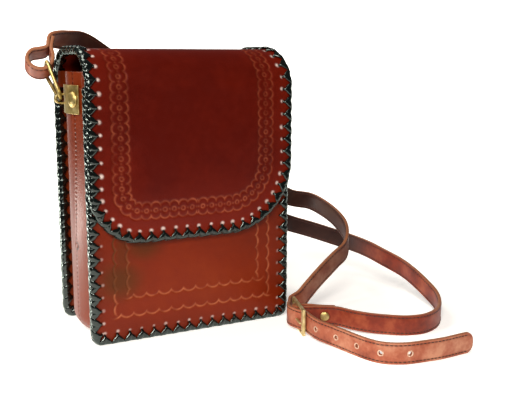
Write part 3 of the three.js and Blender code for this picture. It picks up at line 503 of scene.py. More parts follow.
# painted highlights beside the flap's laced holes
flap_hole_glint = hole_marks(flap_x, flap_s, flap_glint_spots, 1.3, 0.8)
wide_sway = 0.35 * np.sin(flap_x / 27 + 2) * np.sin(flap_s / 29) * np.clip(edge_gap / 40, 0, 1)
height = crown(edge_gap, FLAP_CROWN) + wide_sway - 0.45 * flap_stamp - 0.7 * flap_hole
lift = HIDE_THICK / 2 + height
flap_outer = np.stack((flap_x, y + out_y * lift, z + out_z * lift), -1)
sink = -HIDE_THICK / 2 + crown(edge_gap, FLAP_CROWN)
flap_inner = np.stack((flap_x, y + out_y * sink, z + out_z * sink), -1)
flap_tone = 0.02 + 0.26 * np.exp(-np.clip(away - 4, 0, None) / 13)
flap_tone = flap_tone + 0.2 * within(flap_s, flap_length - 30, flap_length + 20, 8)
# the pale stamped colour, part wear and part painted highlight, is weaker on the back and over the arch and
# full down the front
flap_stamp_wear_and_sheen = flap_stamp * (0.55 + 0.45 * within(flap_s, arch_end + 70, 900, 18))
flap_hide = waxed_hide("dyed_flap_hide", "#520b02", "#721703", "#903208", "#b8603f", 0.3)
flap_facts = {"tone": flap_tone, "stamp": flap_stamp_wear_and_sheen, "hole_glint": flap_hole_glint, "olive": 0}
make_hide(
    "back_flap_hide", flap_outer, flap_inner, (5, 5), flap_hide, "back_flap", 0.4, flap_facts
)

# Gusset: one long strip of softer hide that makes both sides and the bottom. Its edges turn out into
# flanges that are laced to the panels, its middle bows outward, and a beaded line runs along it.
GUSSET_THICK = 2.0
FLANGE_LINE = 38.7
FLANGE_DEPTH = 8.0
CREST_HALF = 6.0
GUSSET_CORNER = 14.0
GUSSET_TAB = 203.0
TAB_SHARE = 0.84
TAB_START = 190.7
BEAD_PITCH = 3.4
BEAD_LINE = (-6.0, -11.0)
STUD_RISE = 70.0
# how far the level bottom of the gusset lies from either end of its run
SIDE_RUN = 210
TAB_ROWS = 14
# across, in flange lines, and out, in flange depths
gusset_shape = [
    (-1, 0), (-1, -0.9), (-0.96, -1.14), (-0.88, -1.14), (-0.74, -0.9), (-0.55, -0.5), (-0.35, -0.15),
]
crest_out = PANEL_FLOOR - GUSSET_THICK / 2
front_half = [(a * FLANGE_LINE, o * FLANGE_DEPTH) for a, o in gusset_shape] + [(-CREST_HALF, crest_out)]
gusset_line = np.array(front_half + [(-a, o) for a, o in reversed(front_half)])


def smooth_line(points, step):
    """Centripetal curve through points, cut into short steps."""
    points = np.asarray(points, float)
    ends = (2 * points[0] - points[1], 2 * points[-1] - points[-2])
    p = np.vstack((ends[0], points, ends[1]))
    gap = np.maximum(np.linalg.norm(np.diff(p, axis=0), axis=1) ** 0.5, 1e-3)
    made = []
    for i in range(len(points) - 1):
        d0, d1, d2 = gap[i : i + 3]
        a, b, c, d = p[i : i + 4]
        way1 = ((b - a) / d0 - (c - a) / (d0 + d1) + (c - b) / d1) * d1
        way2 = ((c - b) / d1 - (d - b) / (d1 + d2) + (d - c) / d2) * d1
        t = np.linspace(0, 1, max(1, round(d1**2 / step)) + 1)[:-1, None]
        made.append(
            (2 * t**3 - 3 * t**2 + 1) * b
            + (t**3 - 2 * t**2 + t) * way1
            + (3 * t**2 - 2 * t**3) * c
            + (t**3 - t**2) * way2
        )
    return np.vstack((*made, points[-1]))


section = smooth_line(gusset_line, 1.4)
middle_band = smooth_line(section[(section[:, 0] > -15) & (section[:, 0] < -2)], 0.4)
section = np.vstack((section[section[:, 0] <= -15], middle_band, section[section[:, 0] >= -2]))
section_out = ways_left(section)
gusset_places, gusset_outs = body_edge(GUSSET_CORNER, TAB_START - 0.7)
gusset_run = path_length(gusset_places)
even = np.arange(0, gusset_run[-1], 0.8)
gusset_places = at_marks(even, gusset_run, gusset_places)
gusset_outs = at_marks(even, gusset_run, gusset_outs)
tab = np.linspace(GUSSET_TAB, TAB_START, TAB_ROWS)[:, None]
tab_left = np.hstack((np.full_like(tab, -PANEL_HALF), tab))
tab_right = np.hstack((np.full_like(tab, PANEL_HALF), tab[::-1]))
gusset_places = np.vstack((tab_left, gusset_places, tab_right))
tab_out = np.tile([1.0, 0.0], (TAB_ROWS, 1))
gusset_outs = np.vstack((-tab_out, gusset_outs, tab_out))
share = np.ones(len(gusset_places))
share[:TAB_ROWS] = share[-TAB_ROWS:] = TAB_SHARE
run = path_length(gusset_places)
# the beaded line drifts to the front towards the top
bead_line = np.interp(gusset_places[:, 1], (60, 150), BEAD_LINE)[:, None]
beads = ring_row(run[:, None], section[:, 0] - bead_line, BEAD_PITCH, 0, 0.8)
from_stud = np.hypot(section[:, 0] - bead_line, gusset_places[:, 1:2] - STUD_RISE)
beads = np.maximum(beads * (from_stud > 4.2), np.exp(-(((from_stud - 2.6) / 0.7) ** 2)))
slow = 0.5 * np.sin(run / 37)[:, None] * np.cos(section[:, 0] / 25)[None, :] ** 2


def gusset_face(offset, extra):
    out = section[:, 1] + section_out[:, 1] * offset + extra
    x = gusset_places[:, 0:1] + gusset_outs[:, 0:1] * out
    z = gusset_places[:, 1:2] + gusset_outs[:, 1:2] * out
    wide = (section[:, 0] + section_out[:, 0] * offset) * share[:, None]
    return np.stack((x, np.broadcast_to(wide, x.shape), z), -1)


flat_bottom = within(run, SIDE_RUN, run[-1] - SIDE_RUN, 4)[:, None]
gusset_outer = gusset_face(GUSSET_THICK / 2, -0.55 * beads - abs(slow) * (1 - flat_bottom) * 0.5)
gusset_inner = gusset_face(-GUSSET_THICK / 2, 0 * beads)
gusset_hide = waxed_hide("dyed_gusset_hide", "#4e1602", "#702604", "#8a3e0a", "#140302", 0.26, 0.32)
gusset_facts = {"tone": 0.38, "stamp": 2 * beads, "hole_glint": 0, "olive": 0}
make_hide(
    "gusset_hide", gusset_outer, gusset_inner, (6, 3), gusset_hide, "gusset", 0.3,
    gusset_facts,
)

# Edge lacing: a flat black thong, braided over the edge. Each hole holds one straight turn and two
# that lean to the holes on either side, so that they cross on the edge and cover it.
LACE_THICK = 2.0
LACE_HOLE_WIDTH = 1.7
LACE_EDGE_WIDTH = 4.8
LACE_SIDES = 10


# Thong: split cowhide, dyed black through and sealed with a hard gloss. It gives the eye long pale
# highlights with a cold green cast, and thin lines along its length.
def sealed_thong():
    material, tree, place = new_material("sealed_black_thong")
    worn = add_node(tree, "TexNoise", {"Scale": 240.0, "Detail": 4.0}, {"Vector": place})
    fine = add_node(tree, "TexNoise", {"Scale": 700.0, "Detail": 3.0}, {"Vector": place})
    dye = add_node(tree, "ValToRGB", links={"Fac": worn.outputs["Fac"]})
    ramp_stops(dye, [(0.3, "#020303"), (0.6, "#060b0a"), (0.8, "#121e1b")])
    bump = add_node(
        tree, "Bump", {"Strength": 0.35, "Distance": 0.0003}, {"Height": fine.outputs["Fac"]}
    )
    rough = add_node(
        tree, "MapRange", {"To Min": 0.1, "To Max": 0.24}, {"Value": worn.outputs["Fac"]}
    )
    skin = add_node(
        tree,
        "BsdfPrincipled",
        {"IOR": 1.5, "Coat Weight": 0.6, "Coat Roughness": 0.08, "Coat Tint": linear("#c4f0e0")},
        {"Base Color": dye.outputs["Color"], "Roughness": rough.outputs[0], "Normal": bump.outputs[0]},
    )
    add_node(tree, "OutputMaterial", links={"Surface": skin.outputs[0]})
    return material


thong = sealed_thong()


def braid(place_at, laces, run_end, pitch, outer, inner):
    """Points and faces of every turn of the thong. outer and inner are the heights of the faces that
    it passes over, and place_at turns distances along the edge, heights and reaches out of it to points."""
    middle = (outer + inner) / 2
    # share of the turn, height off the face, reach out of the edge, and width as a share
    half = [
        (0.0, -1.4, -HOLE_INSET, 0.0),
        (0.03, 0.3, -HOLE_INSET + 0.3, 0.05),
        (0.13, 0.7, -HOLE_INSET + 1.6, 0.4),
        (0.27, 0.72, -1.9, 0.95),
        (0.37, 0.5, -0.1, 1.0),
        (0.43, -0.35, 0.72, 1.0),
    ]
    over = [(t, outer + h, o, w) for t, h, o, w in half]
    over += [(0.5, middle, 0.82, 1.0)]
    # the turns lie flatter and wider on the inner face
    over += [(1 - t, inner - h, o, 1.5 * w) for t, h, o, w in reversed(half)]
    line = smooth_line(over, 0.9)
    turn = np.linspace(0, 2 * math.pi, LACE_SIDES, endpoint=False)
    rim = np.stack((np.cos(turn), np.sin(turn)), 1) / 2
    points, faces = [], []
    rows = len(line)
    tube = tube_faces(rows, LACE_SIDES)
    raised = np.minimum(line[:, 3], 1)
    # lean along the edge in pitches, and how far the turn rides over the one beneath it
    for lean, ride in ((0.1, 0.0), (1.0, 0.3), (-1.0, 0.65)):
        for start in laces:
            slant = pitch * lean * lace_seed.uniform(0.95, 1.05)
            # most of the lean is on the edge itself
            share = line[:, 0] - np.sin(2 * math.pi * line[:, 0]) / (2 * math.pi)
            along = np.clip(start + share * slant, 0.4, run_end - 0.4)
            swell = 1 + lace_seed.uniform(-0.08, 0.1)
            off = (line[:, 1] - middle) / (outer - middle)
            height = line[:, 1] + ride * raised * np.clip(off, -1, 1)
            reach = line[:, 2] + ride * raised * np.clip(1.1 - abs(off), 0, 1)
            spine = place_at(along, height, reach)
            beside = place_at(along + 0.2, height, reach) - place_at(along - 0.2, height, reach)
            beside /= np.linalg.norm(beside, axis=1)[:, None]
            way = np.gradient(spine, axis=0)
            way /= np.linalg.norm(way, axis=1)[:, None]
            up = np.cross(way, beside)
            up /= np.linalg.norm(up, axis=1)[:, None]
            flat = np.cross(up, way)
            width = (LACE_HOLE_WIDTH + (LACE_EDGE_WIDTH - LACE_HOLE_WIDTH) * line[:, 3]) * swell
            ring = (
                spine[:, None]
                + flat[:, None] * (rim[:, 0][None, :, None] * width[:, None, None])
                + up[:, None] * (rim[:, 1][None, :, None] * LACE_THICK)
            )
            faces.append(tube + len(points) * rows * LACE_SIDES)
            points.append(ring.reshape(-1, 3))
    return np.vstack(points), np.vstack(faces).tolist()


def body_place(side):
    def place_at(along, height, out):
        x = np.interp(along, edge_run, edge_places[:, 0])
        z = np.interp(along, edge_run, edge_places[:, 1])
        out_x = np.interp(along, edge_run, edge_outs[:, 0])
        out_z = np.interp(along, edge_run, edge_outs[:, 1])
        return np.stack((x + out_x * out, side * height, z + out_z * out), 1)

    return place_at


def flap_place(along, height, out):
    x = np.interp(along, flap_run, flap_edge[:, 0]) + np.interp(along, flap_run, flap_outs[:, 0]) * out
    s = np.interp(along, flap_run, flap_edge[:, 1]) + np.interp(along, flap_run, flap_outs[:, 1]) * out
    y, z, out_y, out_z = hide_run(np.clip(s, 0, flap_length))
    past = np.clip(s - flap_length, 0, None)
    return np.stack((x, y + out_y * height, z - past + out_z * height), 1)


flange_face = PANEL_FACE - HIDE_THICK - 0.3 - GUSSET_THICK
for side, name in ((-1, "front_lacing"), (1, "back_lacing")):
    points, faces = braid(
        body_place(side), body_laces, edge_run[-1], LACE_PITCH, PANEL_FACE, flange_face
    )
    make_piece(f"{name}_thong", points, faces, thong, [name])
points, faces = braid(
    flap_place, flap_laces, flap_run[-1], LACE_PITCH, HIDE_THICK / 2, -HIDE_THICK / 2
)
make_piece("flap_lacing_thong", points, faces, thong, ["flap_lacing"])

# Ring clips: a strip of sheet brass bent over the gusset's crest, held by one domed rivet, with a
# rolled loop behind it that the ring hangs in.
CLIP_THICK = 1.2
CLIP_MIDDLE = 182.5
CLIP_HEIGHT = 21.5
CLIP_FRONT = -20.0
CLIP_BACK = 13.0
CLIP_RIVET = -12.0
BRIDGE_Y = 9.5
BRIDGE_LENGTH = 5.0
BRIDGE_INNER = 2.7
BRIDGE_THICK = 1.3
BRIDGE_X = BODY_SIZE[0] / 2 + 0.3 + CLIP_THICK + BRIDGE_INNER
BRIDGE_ROOT = 82.8
SHANK_RADIUS = 1.6
DOME_RADIUS = 6.0


# Brass: rolled and pressed, once polished, now handled. It gives the eye warm reflections broken by
# fine rubbing marks, and a browner tarnish where fingers don't reach.
def handled_brass(name, dark, middle, light, dull_least):
    material, tree, place = new_material(name)
    dull = add_node(tree, "TexNoise", {"Scale": 210.0, "Detail": 5.0}, {"Vector": place})
    rub = add_node(tree, "TexNoise", {"Scale": 1900.0, "Detail": 2.0}, {"Vector": place})
    tint = add_node(tree, "ValToRGB", links={"Fac": dull.outputs["Fac"]})
    ramp_stops(tint, [(0.3, dark), (0.5, middle), (0.75, light)])
    limits = {"To Min": dull_least, "To Max": dull_least + 0.14}
    rough = add_node(tree, "MapRange", limits, {"Value": dull})
    bump = add_node(
        tree, "Bump", {"Strength": 0.25, "Distance": 0.0001}, {"Height": rub.outputs["Fac"]}
    )
    skin = add_node(
        tree,
        "BsdfPrincipled",
        {"Metallic": 1.0},
        {"Base Color": tint.outputs["Color"], "Roughness": rough.outputs[0], "Normal": bump.outputs[0]},
    )
    add_node(tree, "OutputMaterial", links={"Surface": skin.outputs[0]})
    return material


brass = handled_brass("handled_brass", "#a28c50", "#bea86a", "#dccb94", 0.38)


def band(line, thick):
    """Closed outline of a strip along a flat line."""
    ways = np.gradient(line, axis=0)
    ways /= np.linalg.norm(ways, axis=1)[:, None]
    side = np.stack((-ways[:, 1], ways[:, 0]), 1) * thick / 2
    return np.vstack((line + side, (line - side)[::-1]))


def prism(outline, step):
    """Closed body between an outline, given as points in space, and its copy one step on."""
    first = np.asarray(outline, float)
    count = len(first)
    points = np.vstack((first, first + step))
    ring = np.arange(count)
    sides = np.stack((ring, np.roll(ring, -1), np.roll(ring, -1) + count, ring + count), 1)
    half = count // 2
    caps = [[i, i + 1, count - 2 - i, count - 1 - i] for i in range(half - 1)]
    far = [[a + count for a in reversed(cap)] for cap in caps]
    return points, sides.tolist() + [cap[::-1] for cap in caps] + [cap[::-1] for cap in far]


def round_edges(piece, width):
    bevel = piece.modifiers.new("eased_edges", "BEVEL")
    bevel.width = width * 0.001
    bevel.segments = 3
    bevel.limit_method = "ANGLE"
    bevel.angle_limit = math.radians(30)
    piece.modifiers.new("even_shading", "WEIGHTED_NORMAL").keep_sharp = True


def domed_rivet(name, centre, way, radius, grip, node):
    """Rivet with its dome at centre, its shank back through the layers and a flat head behind."""
    rise = radius * 0.4
    turn = np.linspace(0, math.pi / 2, 10)
    line = [(radius * math.sin(a), 0.12 + rise * math.cos(a)) for a in turn]
    line += [(radius * 0.97, 0.0), (SHANK_RADIUS, 0.0), (SHANK_RADIUS, -grip - 0.5)]
    line += [(radius * 0.8, -grip - 0.5), (radius * 0.8, -grip - 1.3), (radius * 0.7, -grip - 1.5)]
    line += [(0.0, -grip - 1.5)]
    line = np.array(line)
    around = np.linspace(0, 2 * math.pi, 40, endpoint=False)
    way = np.asarray(way, float) / np.linalg.norm(way)
    first = np.cross(way, (0, 0, 1.0))
    first /= np.linalg.norm(first)
    second = np.cross(way, first)
    circle = np.cos(around)[:, None] * first + np.sin(around)[:, None] * second
    points = np.asarray(centre) + line[:, 1][:, None, None] * way + line[:, 0][:, None, None] * circle[None]
    faces = tube_faces(len(line), 40).tolist()
    return make_piece(name, points.reshape(-1, 3), faces, brass, [node])


clip_line = smooth_line(gusset_line, 1.0)
clip_outs = ways_left(clip_line)
clip_line = clip_line + clip_outs * (GUSSET_THICK / 2 + 0.2 + CLIP_THICK / 2)
inside = (clip_line[:, 0] > CLIP_FRONT) & (clip_line[:, 0] < CLIP_BACK)
rivet_at = int(np.argmin(abs(clip_line[:, 0] - CLIP_RIVET)))
rivet_out = clip_outs[rivet_at]
rivet_seat = clip_line[rivet_at] + rivet_out * CLIP_THICK / 2
outline = band(clip_line[inside], CLIP_THICK)
bend = np.linspace(-math.pi / 2, math.pi / 2, 20)
bridge = np.vstack(
    (
        [[BRIDGE_ROOT - BRIDGE_X, -1.0 * (BRIDGE_INNER + BRIDGE_THICK / 2)]],
        np.stack((np.cos(bend), np.sin(bend)), 1) * (BRIDGE_INNER + BRIDGE_THICK / 2),
        [[BRIDGE_ROOT - BRIDGE_X, BRIDGE_INNER + BRIDGE_THICK / 2]],
    )
)
bridge = band(bridge, BRIDGE_THICK)
for side, name in ((-1, "left"), (1, "right")):
    low = CLIP_MIDDLE - CLIP_HEIGHT / 2
    plate = np.stack((side * (PANEL_HALF + outline[:, 1]), outline[:, 0], np.full(len(outline), low)), 1)
    points, faces = prism(plate, (0, 0, CLIP_HEIGHT))
    clip = make_piece(f"clip_plate_{name}", points, faces, brass, [f"ring_clip_{name}"])
    round_edges(clip, 0.35)
    loop_y = BRIDGE_Y - BRIDGE_LENGTH / 2
    loop = np.stack(
        (side * (BRIDGE_X + bridge[:, 0]), np.full(len(bridge), loop_y), CLIP_MIDDLE + bridge[:, 1]), 1
    )
    points, faces = prism(loop, (0, BRIDGE_LENGTH, 0))
    loop = make_piece(f"clip_loop_{name}", points, faces, brass, [f"ring_clip_{name}"])
    round_edges(loop, 0.3)
    seat = (side * (PANEL_HALF + rivet_seat[1]), rivet_seat[0], CLIP_MIDDLE)
    way = (side * rivet_out[1], rivet_out[0], 0)
    grip = CLIP_THICK + GUSSET_THICK
    domed_rivet(f"clip_rivet_dome_{name}", seat, way, DOME_RADIUS, grip, f"clip_rivet_{name}")

# Rings: 3 mm brass wire bent to a narrow triangle. The round foot sits in the clip's loop and the
# strap's fold hangs on the wide bar.
WIRE = 3.0
RING_HEIGHT = 28.0
RING_HALF = 9.9
RING_FOOT = 4.5
RING_CORNER = 3.0
RING_ROCK = math.radians(32)
RING_LEAN = {-1: math.radians(15), 1: math.radians(158)}


def ring_axes(side):
    lean = RING_LEAN[side]
    rise = np.array((side * math.sin(lean), 0, math.cos(lean)))
    back = np.array((0.0, 1.0, 0.0))
    along = rise * math.cos(RING_ROCK) + back * math.sin(RING_ROCK)
    bar = back * math.cos(RING_ROCK) - rise * math.sin(RING_ROCK)
    middle = np.array((side * BRIDGE_X, BRIDGE_Y, CLIP_MIDDLE)) + rise * RING_FOOT
    return along, bar, middle, middle + along * (RING_HEIGHT - RING_FOOT)


def wire_body(path, radius, sides, closed):
    """Tube round a path of points in space."""
    count = len(path)
    if closed:
        way = np.roll(path, -1, axis=0) - np.roll(path, 1, axis=0)
    else:
        way = np.gradient(path, axis=0)
    way /= np.linalg.norm(way, axis=1)[:, None]
    lead = np.cross(way[0], way[count // 4])
    lead = np.cross(way, lead / np.linalg.norm(lead))
    lead /= np.linalg.norm(lead, axis=1)[:, None]
    other = np.cross(way, lead)
    around = np.linspace(0, 2 * math.pi, sides, endpoint=False)
    rings = np.cos(around)[None, :, None] * lead[:, None] + np.sin(around)[None, :, None] * other[:, None]
    points = path[:, None] + rings * np.broadcast_to(radius, count)[:, None, None]
    faces = tube_faces(count, sides, closed).tolist()
    if not closed:
        faces += end_caps(count, sides)
    return points.reshape(-1, 3), faces


ring_top = RING_HEIGHT - RING_FOOT
bend_x = RING_HALF - RING_CORNER
shape = np.vstack(
    (
        round_run(0, 0, RING_FOOT, math.pi * 1.12, math.pi * 1.88, 24),
        round_run(bend_x, ring_top - RING_CORNER, RING_CORNER, -0.25, math.pi / 2, 14),
        round_run(-bend_x, ring_top - RING_CORNER, RING_CORNER, math.pi / 2, math.pi + 0.25, 14),
    )
)
for side, name in ((-1, "left"), (1, "right")):
    along, bar, middle, bar_centre = ring_axes(side)
    path = middle + shape[:, 0:1] * bar + shape[:, 1:2] * along
    points, faces = wire_body(path, WIRE / 2, 18, True)
    make_piece(f"ring_wire_{name}", points, faces, brass, [f"ring_{name}"])

# Strap: two halves of hide, the long one coral-brown and the buckle one redder, each two layers glued
# and stitched along both edges. One end of each is folded round its ring. The buckle half is also
# folded round the buckle's centre bar, and the long half runs through the buckle to its free end.
STRAP_WIDTH = 16.0
STRAP_THICK = 2.6
SEAM_INSET = 1.9
STITCH_PITCH = 3.1
STITCH_LENGTH = 2.3
RING_TAIL = 24.0
RING_TURN = 9.5
BUCKLE_TAIL = 30.0
TIP_CORNER = 7.0
HOLE_RADIUS = 1.5
HOLE_PITCH = 20.4
HOLE_COUNT = 6
TIP_TO_HOLE = 56.0
LAY_CORNER = np.array((BODY_SIZE[0] / 2, BODY_SIZE[1] / 2, STRAP_WIDTH / 2))
LAY_REACH = np.array((125.0, -228.0, 75.0))
FRAME_LENGTH = 34.0
CENTRE_BAR = 13.0
FAR_BAR = (-0.036, 0.466)
BUCKLE_TURN = math.radians(-107.7)
BUCKLE_STRAP_TURN = math.radians(-34)
FRAME_RAIL = 2.2
FRAME_THICK = 2.4
BAR_HALF = 1.2
FRAME_HEIGHT = STRAP_WIDTH + 1.0 + 2 * FRAME_RAIL
LEAD_LEFT = np.array((0.3, 0.42, 0.86))

# how far out, to the front and up each point of the loose strap lies, as shares of LAY_REACH
beside_long = [
    (0.092, -0.096, 1.413), (0.308, -0.083, 1.153), (0.482, -0.057, 0.967), (0.588, 0.018, 0.935),
    (0.632, 0.096, 0.864), (0.64, 0.18, 0.78), (0.631, 0.246, 0.68), (0.58, 0.303, 0.601),
    (0.516, 0.338, 0.511), (0.4, 0.368, 0.436), (0.247, 0.395, 0.3), (0.128, 0.417, 0.181),
    (0.057, 0.428, 0.1), (-0.014, 0.431, 0.053), (-0.038, 0.441, 0.039),
]
beside_buckle = [
    (0.228, -0.004, 1.36), (0.276, -0.039, 1.067), (0.332, -0.07, 0.853), (0.436, -0.114, 0.667),
    (0.572, -0.14, 0.564), (0.704, -0.083, 0.493), (0.816, -0.013, 0.427), (0.908, 0.066, 0.371),
    (0.94, 0.162, 0.34), (0.962, 0.259, 0.289), (0.988, 0.36, 0.227), (0.97, 0.447, 0.183),
    (0.95, 0.544, 0.103), (0.914, 0.623, 0.044), (0.828, 0.697, 0.007), (0.708, 0.754, 0),
    (0.572, 0.781, 0), (0.45, 0.768, 0), (0.344, 0.737, 0.01), (0.256, 0.7, 0.019), (0.19, 0.655, 0.027),
    (0.15, 0.611, 0.032),
]
buckle_leans = [(-0.3, 0.8, 0.5), (-0.3, 0.6, 0.7), (-0.2, 0.4, 0.9), (0, 0.2, 1)]
behind_bag = [
    (-0.431, -0.023, 1.032), (-0.341, 0.068, 1.027), (-0.24, 0.125, 0.986), (-0.09, 0.182, 0.905),
    (0.12, 0.216, 0.795), (0.359, 0.25, 0.65),
]
behind_leans = [(0.1, 0.5, -0.86), (0, 0.3, -0.95), (0, 0.15, -1), (0, 0, -1), (0, 0, -1), (0, 0, -1)]
# along the buckle and off its plane, in buckle lengths and strap thicknesses
through_buckle = [
    (0, 1.4), (0.18, 2.2), (0.38, 2.48), (0.56, 1.85), (0.72, 0.7), (0.85, -0.5), (0.93, -1.17),
    (1.09, -1.35),
]
free_end = [
    (-0.102, 0.686, 0.027), (-0.074, 0.741, 0.016), (-0.047, 0.796, 0.007), (-0.025, 0.847, 0),
    (-0.004, 0.899, 0), (0.032, 0.94, 0), (0.087, 0.965, 0), (0.153, 0.981, 0), (0.264, 0.991, 0),
    (0.378, 0.997, 0), (0.556, 0.993, 0),
]


def laid(rows, leans, upright):
    points = LAY_CORNER + np.array(rows) * LAY_REACH
    ways = np.tile((0.0, 0.0, upright), (len(rows), 1))
    ways[: len(leans)] = np.array(leans).reshape(-1, 3)
    return points, ways


frame_along = np.array((math.cos(BUCKLE_TURN), math.sin(BUCKLE_TURN), 0))
frame_off = np.array((math.sin(BUCKLE_TURN), -math.cos(BUCKLE_TURN), 0))
far_bar = LAY_CORNER + np.array((*FAR_BAR, 0)) * LAY_REACH
far_bar[2] = FRAME_HEIGHT / 2


def frame_point(along, off, up=0.0):
    up = np.asarray(up)[..., None] * np.array((0, 0, 1.0))
    return far_bar + np.asarray(along)[..., None] * frame_along + np.asarray(off)[..., None] * frame_off + up


def fold(centre, along, width, seat, tail, radius, slide):
    """Route of a strap's end round a bar: the tail, the turn and the start of the run."""
    middle = (radius - seat) * math.cos(slide)
    shift = (radius - seat) * math.sin(slide)
    layer = (STRAP_THICK + 0.1) / 2
    side = np.cross(width, along)
    side /= np.linalg.norm(side)
    ease = [(0.6, 0.02), (0.46, 0.42), (0.36, 0.8)]
    flat = [(tail, layer)]
    flat += [(a * tail, layer + (radius - layer) * b - shift * b) for a, b in ease]
    turn = np.linspace(0, math.pi, 9)
    flat += [(middle - radius * math.sin(a), radius * math.cos(a) - shift) for a in turn]
    flat += [(a * tail, -layer - (radius - layer) * b - shift * b) for a, b in reversed(ease)]
    flat += [(tail, -layer)]
    flat = np.array(flat)
    points = centre + flat[:, 0:1] * along + flat[:, 1:2] * side
    return points, np.tile(width, (len(points), 1))


def ring_fold(side):
    along, bar, middle, centre = ring_axes(side)
    lead = LEAD_LEFT if side < 0 else along
    lead = lead - bar * lead.dot(bar)
    lead = lead / np.linalg.norm(lead)
    seat = WIRE / 2 + 0.6 + STRAP_THICK / 2
    return fold(centre, lead, bar, seat, RING_TAIL, RING_TURN, math.radians(60 if side < 0 else 0))


def strap_places(parts, step):
    """Dense places along a strap: the spine, the way it runs, across it and out of its face."""
    points = np.vstack([part[0] for part in parts])
    widths = np.vstack([part[1] for part in parts])
    gap = np.linalg.norm(np.diff(points, axis=0), axis=1)
    marks = np.arange(len(points), dtype=float)
    joined = smooth_line(np.hstack((points, marks[:, None] * 1e-4)), step)
    spine, mark = joined[:, :3], np.clip(joined[:, 3] * 1e4, 0, len(points) - 1)
    run = path_length(spine)
    even = np.linspace(0, run[-1], int(run[-1] / step))
    spine = np.stack([np.interp(even, run, spine[:, i]) for i in range(3)], 1)
    mark = np.interp(even, run, mark)
    before = np.minimum(mark.astype(int), len(points) - 2)
    rest = (mark - before)[:, None]
    ease = rest**2 * (3 - 2 * rest)
    across = widths[before] * (1 - ease) + widths[before + 1] * ease
    way = np.gradient(spine, axis=0)
    way /= np.linalg.norm(way, axis=1)[:, None]
    across -= way * np.sum(across * way, axis=1)[:, None]
    across /= np.linalg.norm(across, axis=1)[:, None]
    return even, spine, way, across, np.cross(way, across)


# Strap hide: thinner, drier vegetable-tanned leather, dyed unevenly by hand and creased from wear. It
# gives the eye a warm face, darker along the seams, painted shade where it runs behind the bag, and pale
# raw cut edges.
def stitched_hide(name, deep, middle, light):
    material, tree, place = new_material(name)
    cut = add_node(tree, "Attribute", {"attribute_name": "cut"}).outputs["Fac"]
    seam = add_node(tree, "Attribute", {"attribute_name": "seam"}).outputs["Fac"]
    shade = add_node(tree, "Attribute", {"attribute_name": "shade"}).outputs["Fac"]
    pools = add_node(tree, "TexNoise", {"Scale": 60.0, "Detail": 4.0}, {"Vector": place})
    marks = add_node(tree, "TexNoise", {"Scale": 330.0, "Detail": 6.0}, {"Vector": place})
    pores = add_node(tree, "TexVoronoi", {"Scale": 1500.0}, {"Vector": place})
    mixed = add_node(
        tree,
        "Math",
        {"operation": "MULTIPLY_ADD", 1: 0.3},
        {0: marks.outputs["Fac"], 2: pools.outputs["Fac"]},
    )
    dye = add_node(tree, "ValToRGB", links={"Fac": mixed.outputs[0]})
    ramp_stops(dye, [(0.4, deep), (0.62, middle), (0.85, light)])
    # painted shade, near black where the strap runs in shadow behind the bag, then the seams, then the pale
    # cut edge
    layers = ((shade, 0.92, "#180a06"), (seam, 0.6, "#6a2814"), (cut, 1.0, "#9c6242"))
    colour = laid_over(tree, dye, layers)
    rough = add_node(
        tree, "MapRange", {"To Min": 0.4, "To Max": 0.62}, {"Value": marks.outputs["Fac"]}
    )
    pore_bump = add_node(
        tree, "Bump", {"Strength": 0.3, "Distance": 0.0001}, {"Height": pores.outputs["Distance"]}
    )
    bump = add_node(
        tree,
        "Bump",
        {"Strength": 0.6, "Distance": 0.0002},
        {"Height": marks.outputs["Fac"], "Normal": pore_bump.outputs[0]},
    )
    skin = add_node(
        tree,
        "BsdfPrincipled",
        {"IOR": 1.5, "Specular IOR Level": 0.35, "Coat Weight": 0.1, "Coat Roughness": 0.3},
        {"Base Color": colour, "Roughness": rough.outputs[0], "Normal": bump.outputs[0]},
    )
    add_node(tree, "OutputMaterial", links={"Surface": skin.outputs[0]})
    return material


# Thread: waxed linen, dyed dark brown. It gives the eye short dark dashes with a dull shine.
def waxed_thread():
    material, tree, place = new_material("waxed_brown_thread")
    twist = add_node(tree, "TexNoise", {"Scale": 1800.0, "Detail": 2.0}, {"Vector": place})
    tint = add_node(tree, "ValToRGB", links={"Fac": twist.outputs["Fac"]})
    ramp_stops(tint, [(0.3, "#1c0c08"), (0.7, "#4a2818")])
    bump = add_node(
        tree, "Bump", {"Strength": 0.6, "Distance": 0.0001}, {"Height": twist.outputs["Fac"]}
    )
    skin = add_node(
        tree,
        "BsdfPrincipled",
        {"IOR": 1.5, "Roughness": 0.55},
        {"Base Color": tint.outputs["Color"], "Normal": bump.outputs[0]},
    )
    add_node(tree, "OutputMaterial", links={"Surface": skin.outputs[0]})
    return material


long_hide = stitched_hide("stitched_coral_hide", "#7a341e", "#a4563a", "#c08264")
buckle_hide = stitched_hide("stitched_red_hide", "#5c1c0c", "#822c14", "#a04c2c")
thread = waxed_thread()
half_width = STRAP_WIDTH / 2
half_thick = STRAP_THICK / 2
half_across = np.array((1.0, 3.0, 4.8, 5.65, 6.1, 6.55, 7.1, 7.55))
face_across = np.concatenate((-half_across[::-1], half_across))
face_dip = np.exp(-(((abs(face_across) - (half_width - SEAM_INSET)) / 0.45) ** 2))
face_out = half_thick + 0.1 * np.cos(face_across / half_width * math.pi / 2) - 0.28 * face_dip
rim_across = np.array((7.86, 8.0, 8.04, 8.0, 7.86))
rim_out = np.array((0.9, 0.5, 0.0, -0.5, -0.9)) * half_thick
section_across = np.concatenate((face_across, rim_across, face_across[::-1], -rim_across))
section_height = np.concatenate((face_out, rim_out, -face_out[::-1], -rim_out))
section_cut = np.concatenate((0 * face_dip, np.ones(5), 0 * face_dip, np.ones(5)))
section_seam = np.concatenate((face_dip, np.zeros(5), face_dip[::-1], np.zeros(5)))


